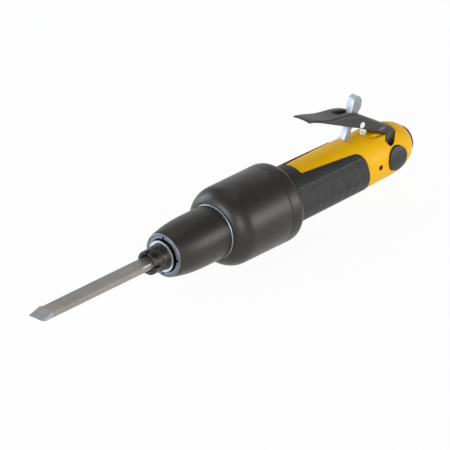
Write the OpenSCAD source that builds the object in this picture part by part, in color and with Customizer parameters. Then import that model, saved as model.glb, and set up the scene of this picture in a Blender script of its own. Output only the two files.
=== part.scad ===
// In-line pneumatic scaling hammer with a flat chisel and a floating percussion unit.
// Millimetres. The origin is the mouth of the air inlet on the tool's axis.
// The chisel points along -X, the throttle lever stands up along +Z.

/* [Handle] */
// Length from the inlet mouth to the rear face of the collar
handle_len = 129.6; // [128:0.2:140]
// Radius of the yellow handle body
handle_r = 19.9; // [19.6:0.1:21]
// Radius of the handle body at the start of its rear dome
handle_tail_r = 19; // [18:0.1:19.4]
// Radius of the small end of the rear dome
dome_end_r = 11.9; // [11.6:0.1:13]
// Length of the rear dome
dome_len = 16; // [15:0.5:17]
// Radius that the handle body is turned down to under the rubber
core_r = 18.5; // [17.8:0.1:18.8]
// Radius of the air chamber in the handle
chamber_r = 12; // [10:0.5:13]
// Distance from the inlet mouth to the rear end of the air chamber
chamber_back = 62; // [60:0.5:70]

/* [Rubber grip] */
// Radius of the rubber at the collar
grip_front_r = 21.1; // [20.9:0.1:22.5]
// Radius of the rubber at its rear edge
grip_back_r = 20.3; // [20.2:0.1:20.8]
// Distance from the inlet mouth to the grip's rear edge at the side
grip_back = 56.6; // [55:0.2:60]
// How far the rear edge leans back for each millimetre of height
grip_lean = 0.15; // [0:0.05:0.4]
// Distance from the inlet mouth to the front of the window in the rubber
window_front = 115.2; // [105:0.2:120]
// Half width of the window at its front end
window_front_w = 9.8; // [7:0.1:11]
// Half width of the window at its rear end
window_back_w = 13.4; // [11.5:0.1:14]
// Corner radius at the front of the window
window_corner = 1.6; // [1:0.1:5]
// Corner radius where the window opens to the grip's rear edge
grip_corner = 5.5; // [3:0.1:6]

/* [Cylinder housing] */
// Outer radius of the big cylinder housing
housing_r = 29; // [28:0.1:32]
// Length of the cylinder housing
housing_len = 52.4; // [51:0.2:60]
// Radius of the round shoulder at the housing's front
shoulder_r = 13.1; // [11:0.1:14]
// Radius of the housing's front lip
lip_r = 19.7; // [19.5:0.1:20.4]
// Wall of the cylinder housing
housing_wall = 5; // [3.8:0.1:5.6]
// Length of the rear collar
collar_len = 14.2; // [13.6:0.2:18]
// Radius of the collar's rear edge
collar_edge_r = 6.9; // [4:0.1:7.2]

/* [Nose] */
// Length of the nose sleeve ahead of the housing
nose_len = 48.9; // [48:0.1:54]
// Radius of the nose sleeve at its front edge
nose_front_r = 16.2; // [16:0.1:17]
// Radius of the rounded front edge of the nose
nose_edge_r = 1.5; // [0.6:0.1:1.5]
// Length of the straight part of the nose sleeve
nose_straight = 17.8; // [14:0.1:20]
// Radius of the bore that holds the nose bushing
nose_bore_r = 14.6; // [14.5:0.05:14.8]
// Radius of the opening in the nose ring
ring_bore_r = 12.3; // [12.2:0.05:12.6]
// Length of the nose bushing
bushing_len = 8; // [6:0.5:9]
// Length of the nose ring
ring_len = 5.6; // [5:0.1:7]
// Thickness of the wiper behind the nose ring
wiper_t = 2.5; // [2:0.1:3]

/* [Percussion unit] */
// Outer radius of the percussion cylinder
unit_r = 16.5; // [16:0.1:16.8]
// Piston radius
piston_r = 11.96; // [11.5:0.02:12.4]
// Piston length
piston_len = 26; // [25.9:0.1:27]
// Piston stroke
piston_stroke = 15.5; // [15.4:0.1:16.5]
// Length of the cap behind the valve chest
cap_len = 10; // [9:0.2:10.4]
// Thickness of the valve chest's port plate
port_plate_t = 2.2; // [2:0.1:2.6]
// Length of the valve cage behind the port plate
cage_len = 2.8; // [2.6:0.1:3]
// Thickness of the disc valve
disc_t = 1; // [0.8:0.1:1.2]
// Radius of the tool bushing's front tube
tube_r = 11.8; // [11.5:0.05:12]
// How far the tool bushing stands out of the nose
tube_out = 2; // [1:0.1:3]
// How far the unit floats each way
float_travel = 3; // [1:0.5:3]

/* [Chisel and retainer] */
// Width of the chisel blade at the retainer
blade_w = 11.2; // [9:0.1:12]
// Width of the chisel blade just behind its flare
blade_end_w = 11.9; // [11.6:0.1:12.2]
// Width of the cutting edge
edge_w = 13.4; // [12.4:0.1:13.6]
// Blade thickness
blade_t = 4.2; // [3:0.1:5]
// Length from the retainer's front to the cutting edge
blade_out = 114.6; // [60:0.5:200]
// Length of the flared end
flare_len = 12; // [8:0.5:20]
// Length of the bevel
bevel_len = 9; // [6:0.5:12]
// Shank radius
shank_r = 6.35; // [5.5:0.05:6.6]
// Collar radius on the shank
shank_collar_r = 8.8; // [8.2:0.1:9]
// Length of the shank collar
shank_collar_len = 5; // [4:0.5:6]
// How far the chisel slides out
chisel_travel = 6; // [2:0.5:6]
// Outer radius of the castellated retainer
retainer_r = 9.5; // [9.3:0.05:10]
// Bore radius of the retainer
retainer_bore_r = 7.2; // [7.1:0.05:7.4]
// How far the retainer stands out of the tool bushing
retainer_out = 10.7; // [8:0.1:12]
// Width of the retainer's notches
notch_w = 5; // [3:0.1:6]
// Depth of the retainer's notches
notch_len = 6; // [3:0.1:7]

/* [Throttle lever] */
// Lever width
lever_w = 18; // [16:0.2:18.4]
// Thickness of the lever's side flanges
flange_t = 2.4; // [1.6:0.1:2.6]
// Thickness of the lever's web, measured upright
web_t = 2.6; // [2:0.1:3]
// Height of the lever's pivot above the axis
pivot_z = 9.3; // [9.1:0.1:9.6]
// Distance of the pivot ahead of the inlet mouth
pivot_d = 22.9; // [22.6:0.1:23.2]
// Radius of the lever's eye round the pivot
eye_r = 4.5; // [4:0.1:4.7]
// Radius of the lever's pivot pin
pivot_pin_r = 2; // [1.5:0.1:2.5]
// Lever travel in degrees
lever_travel = 10; // [6:1:10]
// How far the opening beside each leg reaches ahead of the pivot
leg_opening = 9.1; // [8:0.1:9.6]

/* [Safety lock] */
// Distance of the lock's pin ahead of the inlet mouth
lock_d = 52.3; // [51:0.1:54]
// Height of the lock's pin above the axis
lock_z = 32.6; // [32.4:0.1:33.2]
// Width of the safety lock
lock_w = 6; // [5:0.1:6.4]
// Radius of the lock's hub
lock_hub_r = 3.4; // [3:0.1:3.6]
// Radius of the lock's pin
lock_pin_r = 1.5; // [1.2:0.1:1.8]
// Radius of the lock pin's heads
lock_head_r = 2.3; // [2:0.1:2.6]

/* [Throttle valve] */
// Distance of the valve ahead of the inlet mouth
valve_d = 41.5; // [41.2:0.1:42]
// Radius of the valve stem
stem_r = 2.5; // [2:0.1:2.7]
// Height of the top of the valve stem
stem_top = 23.6; // [23:0.1:23.6]
// Radius of the bore that the valve parts sit in
valve_bore_r = 6; // [5.6:0.1:6.1]
// Radius of the valve head
head_r = 4.2; // [3.6:0.1:4.6]
// Valve travel
valve_travel = 3.1; // [2:0.1:3.2]
// Radius of the air passages
passage_r = 2.2; // [1.6:0.1:2.4]

/* [Air inlet] */
// Minor radius of the inlet thread
inlet_r = 5.72; // [5.4:0.02:6]
// Length of the inlet thread
inlet_len = 12; // [9:0.5:13]
// Radius of the inlet bushing in the handle
inlet_body_r = 7.3; // [7:0.1:7.4]
// Radius of the black end ring
end_ring_r = 12.3; // [12.1:0.1:13]
// Air tube radius
air_tube_r = 5; // [4:0.1:6]

/* [Side details] */
// Radius of the side covers
cover_r = 9.8; // [8:0.1:10]
// How far the side covers stand proud of the handle
cover_proud = 0.35; // [0.2:0.05:1]
// Distance of the side covers ahead of the inlet mouth
cover_d = 26; // [25:0.1:28]
// Height of the side covers
cover_z = -2.5; // [-4:0.1:-2]
// Radius of the small hole in the handle's side
side_hole_r = 1.5; // [1:0.1:1.8]
// How far the small side hole lies ahead of the valve's centre
side_hole_ahead = 2.9; // [2:0.1:3.2]

/* [Fits] */
// Radial clearance of a sliding shaft in its bore
slide_fit = 0.04; // [0.02:0.01:0.08]
// Radial gap between pieces that are screwed or pressed together
seat_gap = 0.05; // [0.02:0.01:0.1]
// Gap between faces that move past each other
run_gap = 0.4; // [0.3:0.05:0.5]

/* [Hidden] */
$fn = 64;
little = 0.01;

// Stations are distances ahead of the inlet mouth, along -X.
collar_back = handle_len;
seam = collar_back + collar_len;
joint = seam + housing_len;
nose_front = joint + nose_len;
tube_front = nose_front + tube_out;
retainer_front = tube_front + retainer_out;
chisel_tip = retainer_front + blade_out;

// Inside of the collar and the rear end of the housing
collar_wall = 4.4;
flange_len = 3.4;
flange_r = core_r + 2.4;
spigot_wall = 1.5;
spigot_r = housing_r - housing_wall + spigot_wall;
spigot_len = 2.2;
guide_len = 6;
counterbore_len = spigot_len + guide_len;
flange_back = collar_back + collar_wall;
flange_front = flange_back + flange_len;
guide_back = seam + spigot_len;
cap_r = unit_r + 0.45;
guide_bore_r = cap_r + slide_fit;
collar_bore_r = flange_r + seat_gap;
silencer_wall = 3;
front_wall = 14.2;
bore_cone = 4;
housing_bore_r = housing_r - housing_wall;

// Stations of the floating unit, each chained from the one behind it
shank_end_room = 9;
strike_gap = 0.5;
stroke_room = 1;
cylinder_len = shank_end_room + strike_gap + piston_len + piston_stroke + stroke_room;
cap_back = flange_front + float_travel + 0.6;
cage_back = cap_back + cap_len;
plate_back = cage_back + cage_len;
cylinder_back = plate_back + port_plate_t;
cylinder_front = cylinder_back + cylinder_len;
cylinder_bore_r = piston_r + slide_fit;
unit_flange_len = 6.5;
unit_flange_r = nose_bore_r - run_gap;
unit_flange_front = cylinder_front + unit_flange_len;
nose_rear_bore_r = unit_r + run_gap;
nose_step = unit_flange_front + float_travel + 0.5;
nose_spigot_len = 12;
nose_spigot_r = lip_r - 1.2;

// Stations of the nose stack, each chained from the one ahead of it
ring_back = nose_front - ring_len;
wiper_back = ring_back - wiper_t;
bushing_back = wiper_back - bushing_len;

// Chisel and the chamber that its collar moves in
spigot_in = 5;
anvil = cylinder_front - shank_end_room;
collar_rest_gap = 0.3;
shoulder = cylinder_front + 18;
buffer_t = 2.5;
buffer_back = shoulder + collar_rest_gap + shank_collar_len + chisel_travel + 0.5;
retainer_back = buffer_back + buffer_t;
shank_bore_r = shank_r + slide_fit + 0.02;
piston_front = anvil - strike_gap;
piston_back = piston_front - piston_len;

// Distance of the side covers' seats from the middle plane
cover_floor = 13;

// Station where the handle's rear dome starts
dome_start = 3;

// Air passages
side_hole_d = valve_d + side_hole_ahead;
inlet_floor = inlet_len + 4.5;
lower_passage_z = -6.2;
upper_passage_z = 2.3;
seat_top = -1.5;
seat_bottom = -4;
bushing_floor = 5.2;
head_top = seat_bottom - 0.3 - 0.7;
head_len = 3;
head_bottom = head_top - head_len;
plug_top = head_bottom - valve_travel - 2.1;
stem_thin_r = 1.5;
hex_r = 9.8;
tube_overlap = 5.5;
tube_bore_r = air_tube_r - 1.5;
plug_len = 8;
chamber_front = collar_back + 0.4;
tube_wall_end = cap_back + tube_overlap;
recess_r = chamber_r + 2;

// Lever outline: stations ahead of the inlet mouth and heights at rest
lever_tip = [104.8, 54.25];
lever_top = [
    [18.2, 16.4], [37.5, 28.5], [46.7, 34.7], [51, 37.5], [55, 39.6], [59, 41.2],
    [63.5, 42.4], [73.5, 44.3], [79, 45.3], [83.9, 46.6], [93.9, 50.2], lever_tip
];
lever_under = [
    [103.7, 53.1], [72.9, 37.8], [41.1, 21], [31, 15.3], [27.4, 14.6], [27.4, 9.3]
];
lever_half = lever_w / 2;
channel_half = lever_half - flange_t;
slot_from = lock_d - 7.3;
slot_to = lock_d + 13.7;
slot_half = lock_w / 2 + 0.5;

// Pocket in the handle for the lever's legs and flanges
pocket_half = lever_half + run_gap;
neck_half = channel_half - run_gap;
pocket_back = pivot_d - eye_r - 1;
pocket_front = pivot_d + eye_r + 1.1;
pocket_floor = pivot_z - eye_r - run_gap;
groove = concat(
    [[pocket_front, pressed(lever_under[4])[1] - run_gap - 0.6]],
    [for (i = [3:-1:1]) pressed(lever_under[i]) - [0, run_gap]]
);
web_rear = lever_top[0] - [0, web_t];
web_front = lever_top[1] - [0, web_t];
neck_line = [
    web_rear - [2.2, 1.4], pressed(web_rear) - [0, run_gap + 0.3],
    pressed(web_front) - [0, run_gap + 0.2]
];

// Safety lock outline as offsets from its pin, with the foot just above the handle
lock_pin_at = [lock_d, lock_z];
lock_tab = [
    [3.6, 8.7], [0.7, 16.4], [-0.1, 17.6], [-1.3, 18.4], [-2.7, 18.5], [-4.1, 17.9],
    [-5.5, 16.5], [-6.3, 14.8], [-6.3, 13], [-5.4, 9.5], [-2, 6.7]
];
lock_foot = [
    [4.3, -3.6], [4.7, -8.4], [5.9, -10.6], [8, -12.25], [9.3, -11.2], [10.1, -9],
    [7.4, -2.4]
];
lock_outline = concat(lock_tab, [[-2.6, 2], [-2, -2]], lock_foot, [[3, 2]]);

// Points of an arc about a centre, from one angle to another
function arc(centre, r, from, to, steps) = [
    for (i = [0:steps])
        let (a = from + (to - from) * i / steps)
            [centre[0] + r * cos(a), centre[1] + r * sin(a)]
];

// Where a point of the lever's side outline goes when the lever is pressed all the way
function pressed(p) =
    let (a = lever_travel, q = p - [pivot_d, pivot_z])
        [pivot_d + q[0] * cos(a) + q[1] * sin(a), pivot_z - q[0] * sin(a) + q[1] * cos(a)];

// Stands children up along the tool's axis: their z runs forward from station d.
module forward(d) {
    translate([-d, 0, 0]) rotate([0, -90, 0]) children();
}

// Lays a side outline drawn in station and height across the tool, w wide.
module side_plate(w) {
    rotate([90, 0, 0]) mirror([1, 0, 0]) linear_extrude(w, center = true) children();
}

// A round bar along the axis between two stations
module bar(r, from, to) {
    forward(from) cylinder(r = r, h = to - from);
}

// A plain tube along the axis between two stations
module tube(r, bore, from, to) {
    forward(from) difference() {
        cylinder(r = r, h = to - from);
        translate([0, 0, -1]) cylinder(r = bore, h = to - from + 2);
    }
}

// A tube with both outer edges broken by a chamfer
module chamfered_tube(r, bore, from, to, edge) {
    forward(from) rotate_extrude() polygon([
        [bore, 0], [r - edge, 0], [r, edge], [r, to - from - edge],
        [r - edge, to - from], [bore, to - from]
    ]);
}

// An upright bar at the valve's station between two heights
module upright(r, low, high) {
    translate([-valve_d, 0, low]) cylinder(r = r, h = high - low);
}

// A bar across the tool, centred on its middle plane
module across(r, w, d, z) {
    translate([-d, 0, z]) rotate([90, 0, 0]) cylinder(r = r, h = w, center = true);
}

// Points of one ring of a coil's wire at turn t, for a coil that stands along z
function coil_ring(coil_r, wire_r, pitch, t, sides) = [
    for (k = [0:sides - 1])
        let (a = 360 * t, b = 360 * k / sides, out = coil_r + wire_r * cos(b))
            [out * cos(a), out * sin(a), pitch * t + wire_r * sin(b)]
];

// A compression spring as one unbroken tube of wire, standing along z
module coil(coil_r, wire_r, length, turns) {
    sides = 6;
    per_turn = 8;
    rings = round(turns * per_turn);
    pitch = (length - 2 * wire_r) / turns;
    points = [
        for (i = [0:rings]) each coil_ring(coil_r, wire_r, pitch, i / per_turn, sides)
    ];
    walls = [
        for (i = [0:rings - 1], k = [0:sides - 1])
            let (n = (k + 1) % sides, low = i * sides, high = low + sides)
                each [[low + k, low + n, high + k], [low + n, high + n, high + k]]
    ];
    start = [for (k = [1:sides - 2]) [0, k + 1, k]];
    last = rings * sides;
    stop = [for (k = [1:sides - 2]) [last, last + k, last + k + 1]];
    echo(coil_gap = coil_gap(coil_r, wire_r, pitch, per_turn, turns));
    translate([0, 0, wire_r]) polyhedron(points, concat(walls, start, stop));
}

// Least distance between one turn's surface and the next, measured on the wire's points
function coil_gap(coil_r, wire_r, pitch, per_turn, turns) = min([
    for (i = [0:per_turn - 1])
        let (a = coil_ring(coil_r, wire_r, pitch, i / per_turn, 6))
            let (b = coil_ring(coil_r, wire_r, pitch, i / per_turn + 1, 6))
                for (p = a, q = b) norm(p - q)
]);

// Sleeve of the nose, with a long convex taper and a round front edge
module nose_sleeve() {
    taper_len = nose_len - nose_straight - nose_edge_r;
    drop = lip_r - nose_front_r;
    taper_r = (taper_len * taper_len + drop * drop) / (2 * drop);
    taper_end = asin(taper_len / taper_r);
    spigot_back = joint - nose_spigot_len;
    straight_end = nose_spigot_len + nose_straight;
    total = nose_spigot_len + nose_len;
    color([0.22, 0.22, 0.22]) forward(spigot_back) rotate_extrude($fn = 128) polygon(concat(
        [[nose_rear_bore_r, 0], [nose_spigot_r - 0.6, 0], [nose_spigot_r, 0.6]],
        [[nose_spigot_r, nose_spigot_len], [lip_r - 0.4, nose_spigot_len]],
        [[lip_r, nose_spigot_len + 0.4]],
        arc([lip_r - taper_r, straight_end], taper_r, 0, taper_end, 10),
        arc([nose_front_r - nose_edge_r, total - nose_edge_r], nose_edge_r, 15, 90, 5),
        [[nose_bore_r, total], [nose_bore_r, nose_step - spigot_back]],
        [[nose_rear_bore_r, nose_step - spigot_back]]
    ));
}

// Screwed ring in the nose, with four notches for a spanner
module nose_ring() {
    notch = 1.9;
    color([0.26, 0.26, 0.26]) difference() {
        tube(nose_bore_r - seat_gap, ring_bore_r, ring_back, nose_front);
        for (a = [0:90:270]) forward(nose_front - notch) rotate([0, 0, a])
            translate([nose_bore_r - 1.9, -notch / 2, 0]) cube([3, notch, notch + 1]);
    }
}

// Rubber wiper that keeps dust out of the nose
module nose_wiper() {
    color([0.1, 0.1, 0.1])
        tube(nose_bore_r - seat_gap, tube_r + 0.3, wiper_back, ring_back);
}

// Bronze bushing that the floating unit slides in
module nose_bushing() {
    color([0.7, 0.5, 0.25])
        tube(nose_bore_r - seat_gap, tube_r + slide_fit, bushing_back, wiper_back);
}

// Damping spring between the nose bushing and the unit's flange
module front_spring() {
    wire_r = 0.6;
    length = bushing_back - unit_flange_front - 0.2;
    color([0.6, 0.6, 0.62]) forward(unit_flange_front + 0.1)
        coil(nose_bore_r - run_gap - wire_r, wire_r, length, 5);
}

// Big outer housing with its round shoulder and front lip
module cylinder_housing() {
    shoulder_at = housing_len - 1.4;
    lip_in = lip_r - 0.5;
    crease = 0.25;
    rise = housing_r - shoulder_r;
    color([0.2, 0.2, 0.2]) forward(seam) rotate_extrude($fn = 128) polygon(concat(
        [[spigot_r + seat_gap, 0], [housing_r - 0.3, 0], [housing_r, 0.3]],
        arc([rise, shoulder_at - shoulder_r], shoulder_r, 0, 60, 8),
        arc([rise - crease, shoulder_at - shoulder_r], shoulder_r, 60, 72, 3),
        [[lip_r, shoulder_at], [lip_r, housing_len - 0.4], [lip_in, housing_len]],
        [[nose_spigot_r + seat_gap, housing_len]],
        [[nose_spigot_r + seat_gap, housing_len - front_wall]],
        [[housing_bore_r, housing_len - front_wall - bore_cone]],
        [[housing_bore_r, counterbore_len], [spigot_r + seat_gap, counterbore_len]]
    ));
}

// Porous sleeve that quiets the exhaust in the housing
module silencer_sleeve() {
    from = seam + counterbore_len + 1;
    to = joint - front_wall - bore_cone - 0.6;
    outer = housing_bore_r - seat_gap;
    color([0.55, 0.52, 0.45]) difference() {
        tube(outer, outer - silencer_wall, from, to);
        for (row = [0:2], a = [0:45:315])
            forward(from + (row + 0.5) * (to - from) / 3) rotate([0, 0, a + row * 22.5])
                rotate([0, 90, 0]) cylinder(r = 1.6, h = housing_r, $fn = 24);
    }
}

// Ring that guides the rear of the floating unit
module rear_guide_ring() {
    color([0.7, 0.5, 0.25])
        tube(spigot_r - seat_gap, guide_bore_r, guide_back, guide_back + guide_len);
}

// Sleeve that holds the handle's flange against the collar
module spacer_sleeve() {
    color([0.6, 0.6, 0.62])
        tube(flange_r - seat_gap, cap_r + run_gap + 0.4, flange_front, guide_back);
}

// Rubber ring that seals the collar in the housing
module housing_oring() {
    groove = 0.8;
    color([0.08, 0.08, 0.08]) forward(seam + 0.4) rotate_extrude($fn = 96)
        translate([spigot_r - groove, 0.7]) circle(r = 0.65, $fn = 24);
}

// Rear collar of the housing, with a large round rear edge
module rear_collar() {
    back_r = housing_r - collar_edge_r;
    hole_r = core_r + seat_gap;
    total = collar_len + spigot_len;
    color([0.2, 0.2, 0.2]) difference() {
        forward(collar_back) rotate_extrude($fn = 128) polygon(concat(
            [[hole_r, 0]],
            arc([back_r, collar_edge_r], collar_edge_r, -90, 0, 10),
            [[housing_r, collar_len - 0.3], [housing_r - 0.3, collar_len]],
            [[spigot_r, collar_len], [spigot_r, total]],
            [[collar_bore_r, total], [collar_bore_r, collar_wall], [hole_r, collar_wall]]
        ));
        tube(spigot_r + 1, spigot_r - 1.55, seam + 0.35, seam + 1.85);
    }
}

// Damping spring between the unit's cap and the handle
module rear_spring() {
    wire_r = 0.7;
    length = cap_back - chamber_front - 0.2;
    color([0.6, 0.6, 0.62]) forward(chamber_front + 0.1)
        coil((recess_r + air_tube_r) / 2 + 1.4, wire_r, length, 3.5);
}

// Outline of the rubber's rear edge and window, as a solid that is not rubber
module window_cut() {
    slope = (window_back_w - window_front_w) / (window_front - grip_back);
    round_d = window_front - window_corner;
    translate([0, 0, 5]) linear_extrude(40) mirror([1, 0, 0]) polygon(concat(
        [[30, -window_back_w - slope * (grip_back - 30)]],
        arc([round_d, -window_front_w + window_corner], window_corner, -90, 0, 6),
        arc([round_d, window_front_w - window_corner], window_corner, 0, 90, 6),
        [[30, window_back_w + slope * (grip_back - 30)]]
    ));
    side_plate(100) polygon([
        [grip_back - grip_lean * 30, -30], [grip_back + grip_lean * 30, 30], [-20, 30],
        [-20, -30]
    ]);
    corner_relief(slope);
    mirror([0, 1, 0]) corner_relief(slope);
}

// Rounds the corner where the window opens to the rear edge of the rubber
module corner_relief(slope) {
    r = grip_corner;
    edge_z = sqrt(grip_back_r * grip_back_r - window_back_w * window_back_w);
    edge_d = grip_back + grip_lean * edge_z;
    translate([0, 0, 5]) linear_extrude(40) mirror([1, 0, 0]) difference() {
        translate([edge_d - 1, window_back_w - 1]) square(r + 1);
        translate([edge_d + r, window_back_w + r]) circle(r = r, $fn = 48);
    }
}

// Rubber grip moulded round the handle
module rubber_grip() {
    front = collar_back - seat_gap;
    length = front - 30;
    color([0.25, 0.25, 0.25]) difference() {
        forward(30) rotate_extrude($fn = 128) polygon([
            [core_r + seat_gap, 0], [grip_back_r, 0], [grip_back_r, grip_back - 30],
            [grip_front_r, length - 0.5], [grip_front_r - 0.5, length],
            [core_r + seat_gap, length]
        ]);
        window_cut();
    }
}

// Opening from one of the lever's legs out through the side of the handle
module leg_window(side) {
    rise = 0.95;
    reach = handle_r;
    translate([-pivot_d - leg_opening, 0, 0]) rotate([90, 0, 90])
        linear_extrude(pivot_d + leg_opening - pocket_back) polygon([
            [side * (neck_half + 1), pocket_floor], [side * pocket_half, pocket_floor],
            [side * (pocket_half + reach), pocket_floor + rise * reach],
            [side * (neck_half + 1), pocket_floor + rise * reach]
        ]);
}

// Everything cut from the handle to seat the lever
module lever_pocket() {
    leg_window(-1);
    leg_window(1);
    side_plate(2 * pocket_half) polygon([
        [pocket_back, 40], [pocket_back, pocket_floor], [pocket_front, pocket_floor],
        each groove, [groove[3][0], 40]
    ]);
}

// Middle of the handle that stays standing between the lever's flanges
module lever_neck() {
    side_plate(2 * neck_half) polygon(concat(
        [[groove[3][0] + 1, pocket_floor - 1], [pocket_back - 1, pocket_floor - 1]],
        [[pocket_back - 1, neck_line[0][1]]], neck_line,
        [[groove[3][0] + 1, neck_line[2][1]]]
    ));
}

// The handle's outer form without its pockets
module handle_form() {
    tail = dome_len + dome_start;
    forward(dome_start) rotate_extrude($fn = 128) polygon(concat(
        [[0, 0], [dome_end_r - 0.5, 0], [dome_end_r, 0.5]],
        [[handle_tail_r - 5.6, 2], [handle_tail_r - 3.8, 5], [handle_tail_r - 2.5, 8]],
        [[handle_tail_r - 1.9, 10.6], [handle_tail_r - 1.4, 12.6], [handle_tail_r - 1, tail - 3]],
        [[handle_tail_r, tail], [handle_r - 0.2, 44], [handle_r, 58]],
        [[handle_r, collar_back - dome_start - 0.4], [handle_r - 0.3, collar_back - dome_start - 0.05]],
        [[0, collar_back - dome_start - 0.05]]
    ));
}

// Cast yellow handle with the valve seat, the air passages and the lever's pocket
module handle_body() {
    color([0.95, 0.72, 0.12]) difference() {
        union() {
            intersection() {
                handle_form();
                union() {
                    window_cut();
                    bar(core_r, 0, collar_back);
                }
            }
            bar(core_r, collar_back - 1, flange_front);
            bar(flange_r, flange_back, flange_front);
        }
        difference() {
            lever_pocket();
            intersection() {
                lever_neck();
                bar(handle_r, 0, handle_len);
            }
        }
        bar(chamber_r + seat_gap, chamber_back, flange_front + 1);
        bar(recess_r, chamber_front, flange_front + 1);
        bar(inlet_body_r + seat_gap, 0, inlet_floor);
        translate([0, 0, upper_passage_z]) bar(passage_r, valve_d, chamber_back + 2);
        translate([0, 0, lower_passage_z]) bar(min(passage_r, 2), inlet_floor - 2, valve_d);
        upright(valve_bore_r + seat_gap, -handle_r - 5, handle_r + 5);
        across(pivot_pin_r + seat_gap, 2 * pocket_half, pivot_d, pivot_z);
        translate([-side_hole_d, -valve_bore_r + 1, 0]) rotate([90, 0, 0])
            cylinder(r = side_hole_r + seat_gap, h = handle_r);
        cover_seat(1);
        cover_seat(-1);
    }
}

// Round seat for a side cover, on the near side or the far one
module cover_seat(side) {
    translate([-cover_d, side * cover_floor, cover_z]) rotate([-90 * side, 0, 0])
        cylinder(r = cover_r + 0.25, h = 10);
}

// Side cover whose face follows the round handle
module side_cover(side) {
    face_r = handle_tail_r + cover_proud;
    color([0.16, 0.16, 0.17]) intersection() {
        translate([-cover_d, side * (cover_floor + seat_gap), cover_z])
            rotate([-90 * side, 0, 0]) cylinder(r = cover_r, h = 10);
        forward(dome_start) rotate_extrude($fn = 128) polygon([
            [0, 0], [handle_tail_r - 3, 9], [face_r, dome_len + 1], [face_r + 0.5, 50], [0, 50]
        ]);
    }
}

// Near side cover
module side_cover_near() {
    side_cover(-1);
}

// Far side cover
module side_cover_far() {
    side_cover(1);
}

// Plug that closes the front of the air chamber and holds the air tube
module chamber_plug() {
    from = chamber_front - plug_len;
    groove_d = chamber_front - plug_len / 2;
    color([0.6, 0.6, 0.62]) difference() {
        tube(chamber_r, air_tube_r + seat_gap, from, chamber_front);
        tube(chamber_r + 1, chamber_r - 1.4, groove_d - 0.9, groove_d + 0.9);
    }
}

// Rubber ring round the chamber plug
module chamber_oring() {
    color([0.08, 0.08, 0.08]) forward(chamber_front - plug_len / 2)
        rotate_extrude($fn = 96) translate([chamber_r - 0.68, 0]) circle(r = 0.66, $fn = 24);
}

// Tube that carries the air into the floating unit
module air_tube() {
    color([0.7, 0.7, 0.72])
        tube(air_tube_r, tube_bore_r, chamber_front - plug_len - 1, tube_wall_end);
}

// Bushing that guides the valve stem
module valve_bushing() {
    top = handle_r - 1.3;
    groove_z = 10;
    color([0.72, 0.6, 0.3]) difference() {
        upright(valve_bore_r, bushing_floor, top);
        upright(stem_r + slide_fit, bushing_floor - 1, top + 1);
        upright(stem_r + 1.4, bushing_floor - 1, bushing_floor + 2.5);
        difference() {
            upright(valve_bore_r + 1, groove_z, groove_z + 1.6);
            upright(valve_bore_r - 1.3, groove_z - 1, groove_z + 3);
        }
    }
}

// Rubber ring round the valve bushing
module bushing_oring() {
    color([0.08, 0.08, 0.08]) translate([-valve_d, 0, 10.8]) rotate_extrude()
        translate([valve_bore_r - 0.66, 0]) circle(r = 0.62, $fn = 24);
}

// Ring that the valve head closes against
module valve_seat() {
    color([0.72, 0.6, 0.3]) difference() {
        upright(valve_bore_r, seat_bottom, seat_top);
        upright(head_r - 1.2, seat_bottom - 1, seat_top + 1);
    }
}

// Spring that closes the throttle valve
module valve_spring() {
    wire_r = 0.3;
    color([0.6, 0.6, 0.62]) translate([-valve_d, 0, plug_top + 0.1])
        coil(head_r - 1, wire_r, head_bottom - plug_top - 0.2, 4);
}

// Plug that closes the bottom of the valve bore
module valve_plug() {
    slot_w = 1.2;
    bottom = -core_r + 1.5;
    color([0.6, 0.6, 0.62]) difference() {
        upright(valve_bore_r, bottom, plug_top);
        translate([-valve_d - valve_bore_r, -slot_w / 2, bottom - 1])
            cube([2 * valve_bore_r, slot_w, 2]);
    }
}

// Set screw behind the small hole in the handle's side
module set_screw() {
    from = valve_bore_r + 0.3;
    to = handle_r - 3.6;
    color([0.45, 0.3, 0.1]) translate([-side_hole_d, -from, 0]) rotate([90, 0, 0])
        difference() {
            cylinder(r = side_hole_r, h = to - from, $fn = 32);
            translate([0, 0, to - from - 1.2]) cylinder(r = side_hole_r * 0.55, h = 2, $fn = 6);
        }
}

// Pin that the lever turns on
module lever_pin() {
    color([0.3, 0.3, 0.3]) across(pivot_pin_r, lever_w + 0.4, pivot_d, pivot_z);
}

// Threaded bushing of the air inlet, with a hexagon behind the end ring
module inlet_bushing() {
    hex_len = 2.8;
    color([0.6, 0.6, 0.62]) difference() {
        union() {
            bar(inlet_body_r, 0, inlet_floor - 1.2);
            forward(0) cylinder(r = hex_r, h = hex_len, $fn = 6);
        }
        bar(inlet_r, -1, inlet_len);
        bar(inlet_r - 1.4, inlet_len - 1, inlet_floor);
    }
}

// Strainer disc behind the inlet
module inlet_strainer() {
    color([0.75, 0.7, 0.5]) difference() {
        bar(inlet_body_r, inlet_floor - 1, inlet_floor - 0.1);
        for (x = [-2:2], y = [-2:2]) translate([0, x * 2, y * 2])
            bar(0.6, inlet_floor - 2, inlet_floor + 1);
    }
}

// Black ring at the rear end of the handle
module end_ring() {
    color([0.12, 0.12, 0.12]) chamfered_tube(end_ring_r, hex_r + 0.1, 0.9, dome_start, 0.5);
}

// Side outline of the lever's outer form
module lever_outline() {
    polygon(concat(lever_top, lever_under, [[18.4, 9.3]]));
    translate([pivot_d, pivot_z]) circle(r = eye_r);
}

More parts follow.
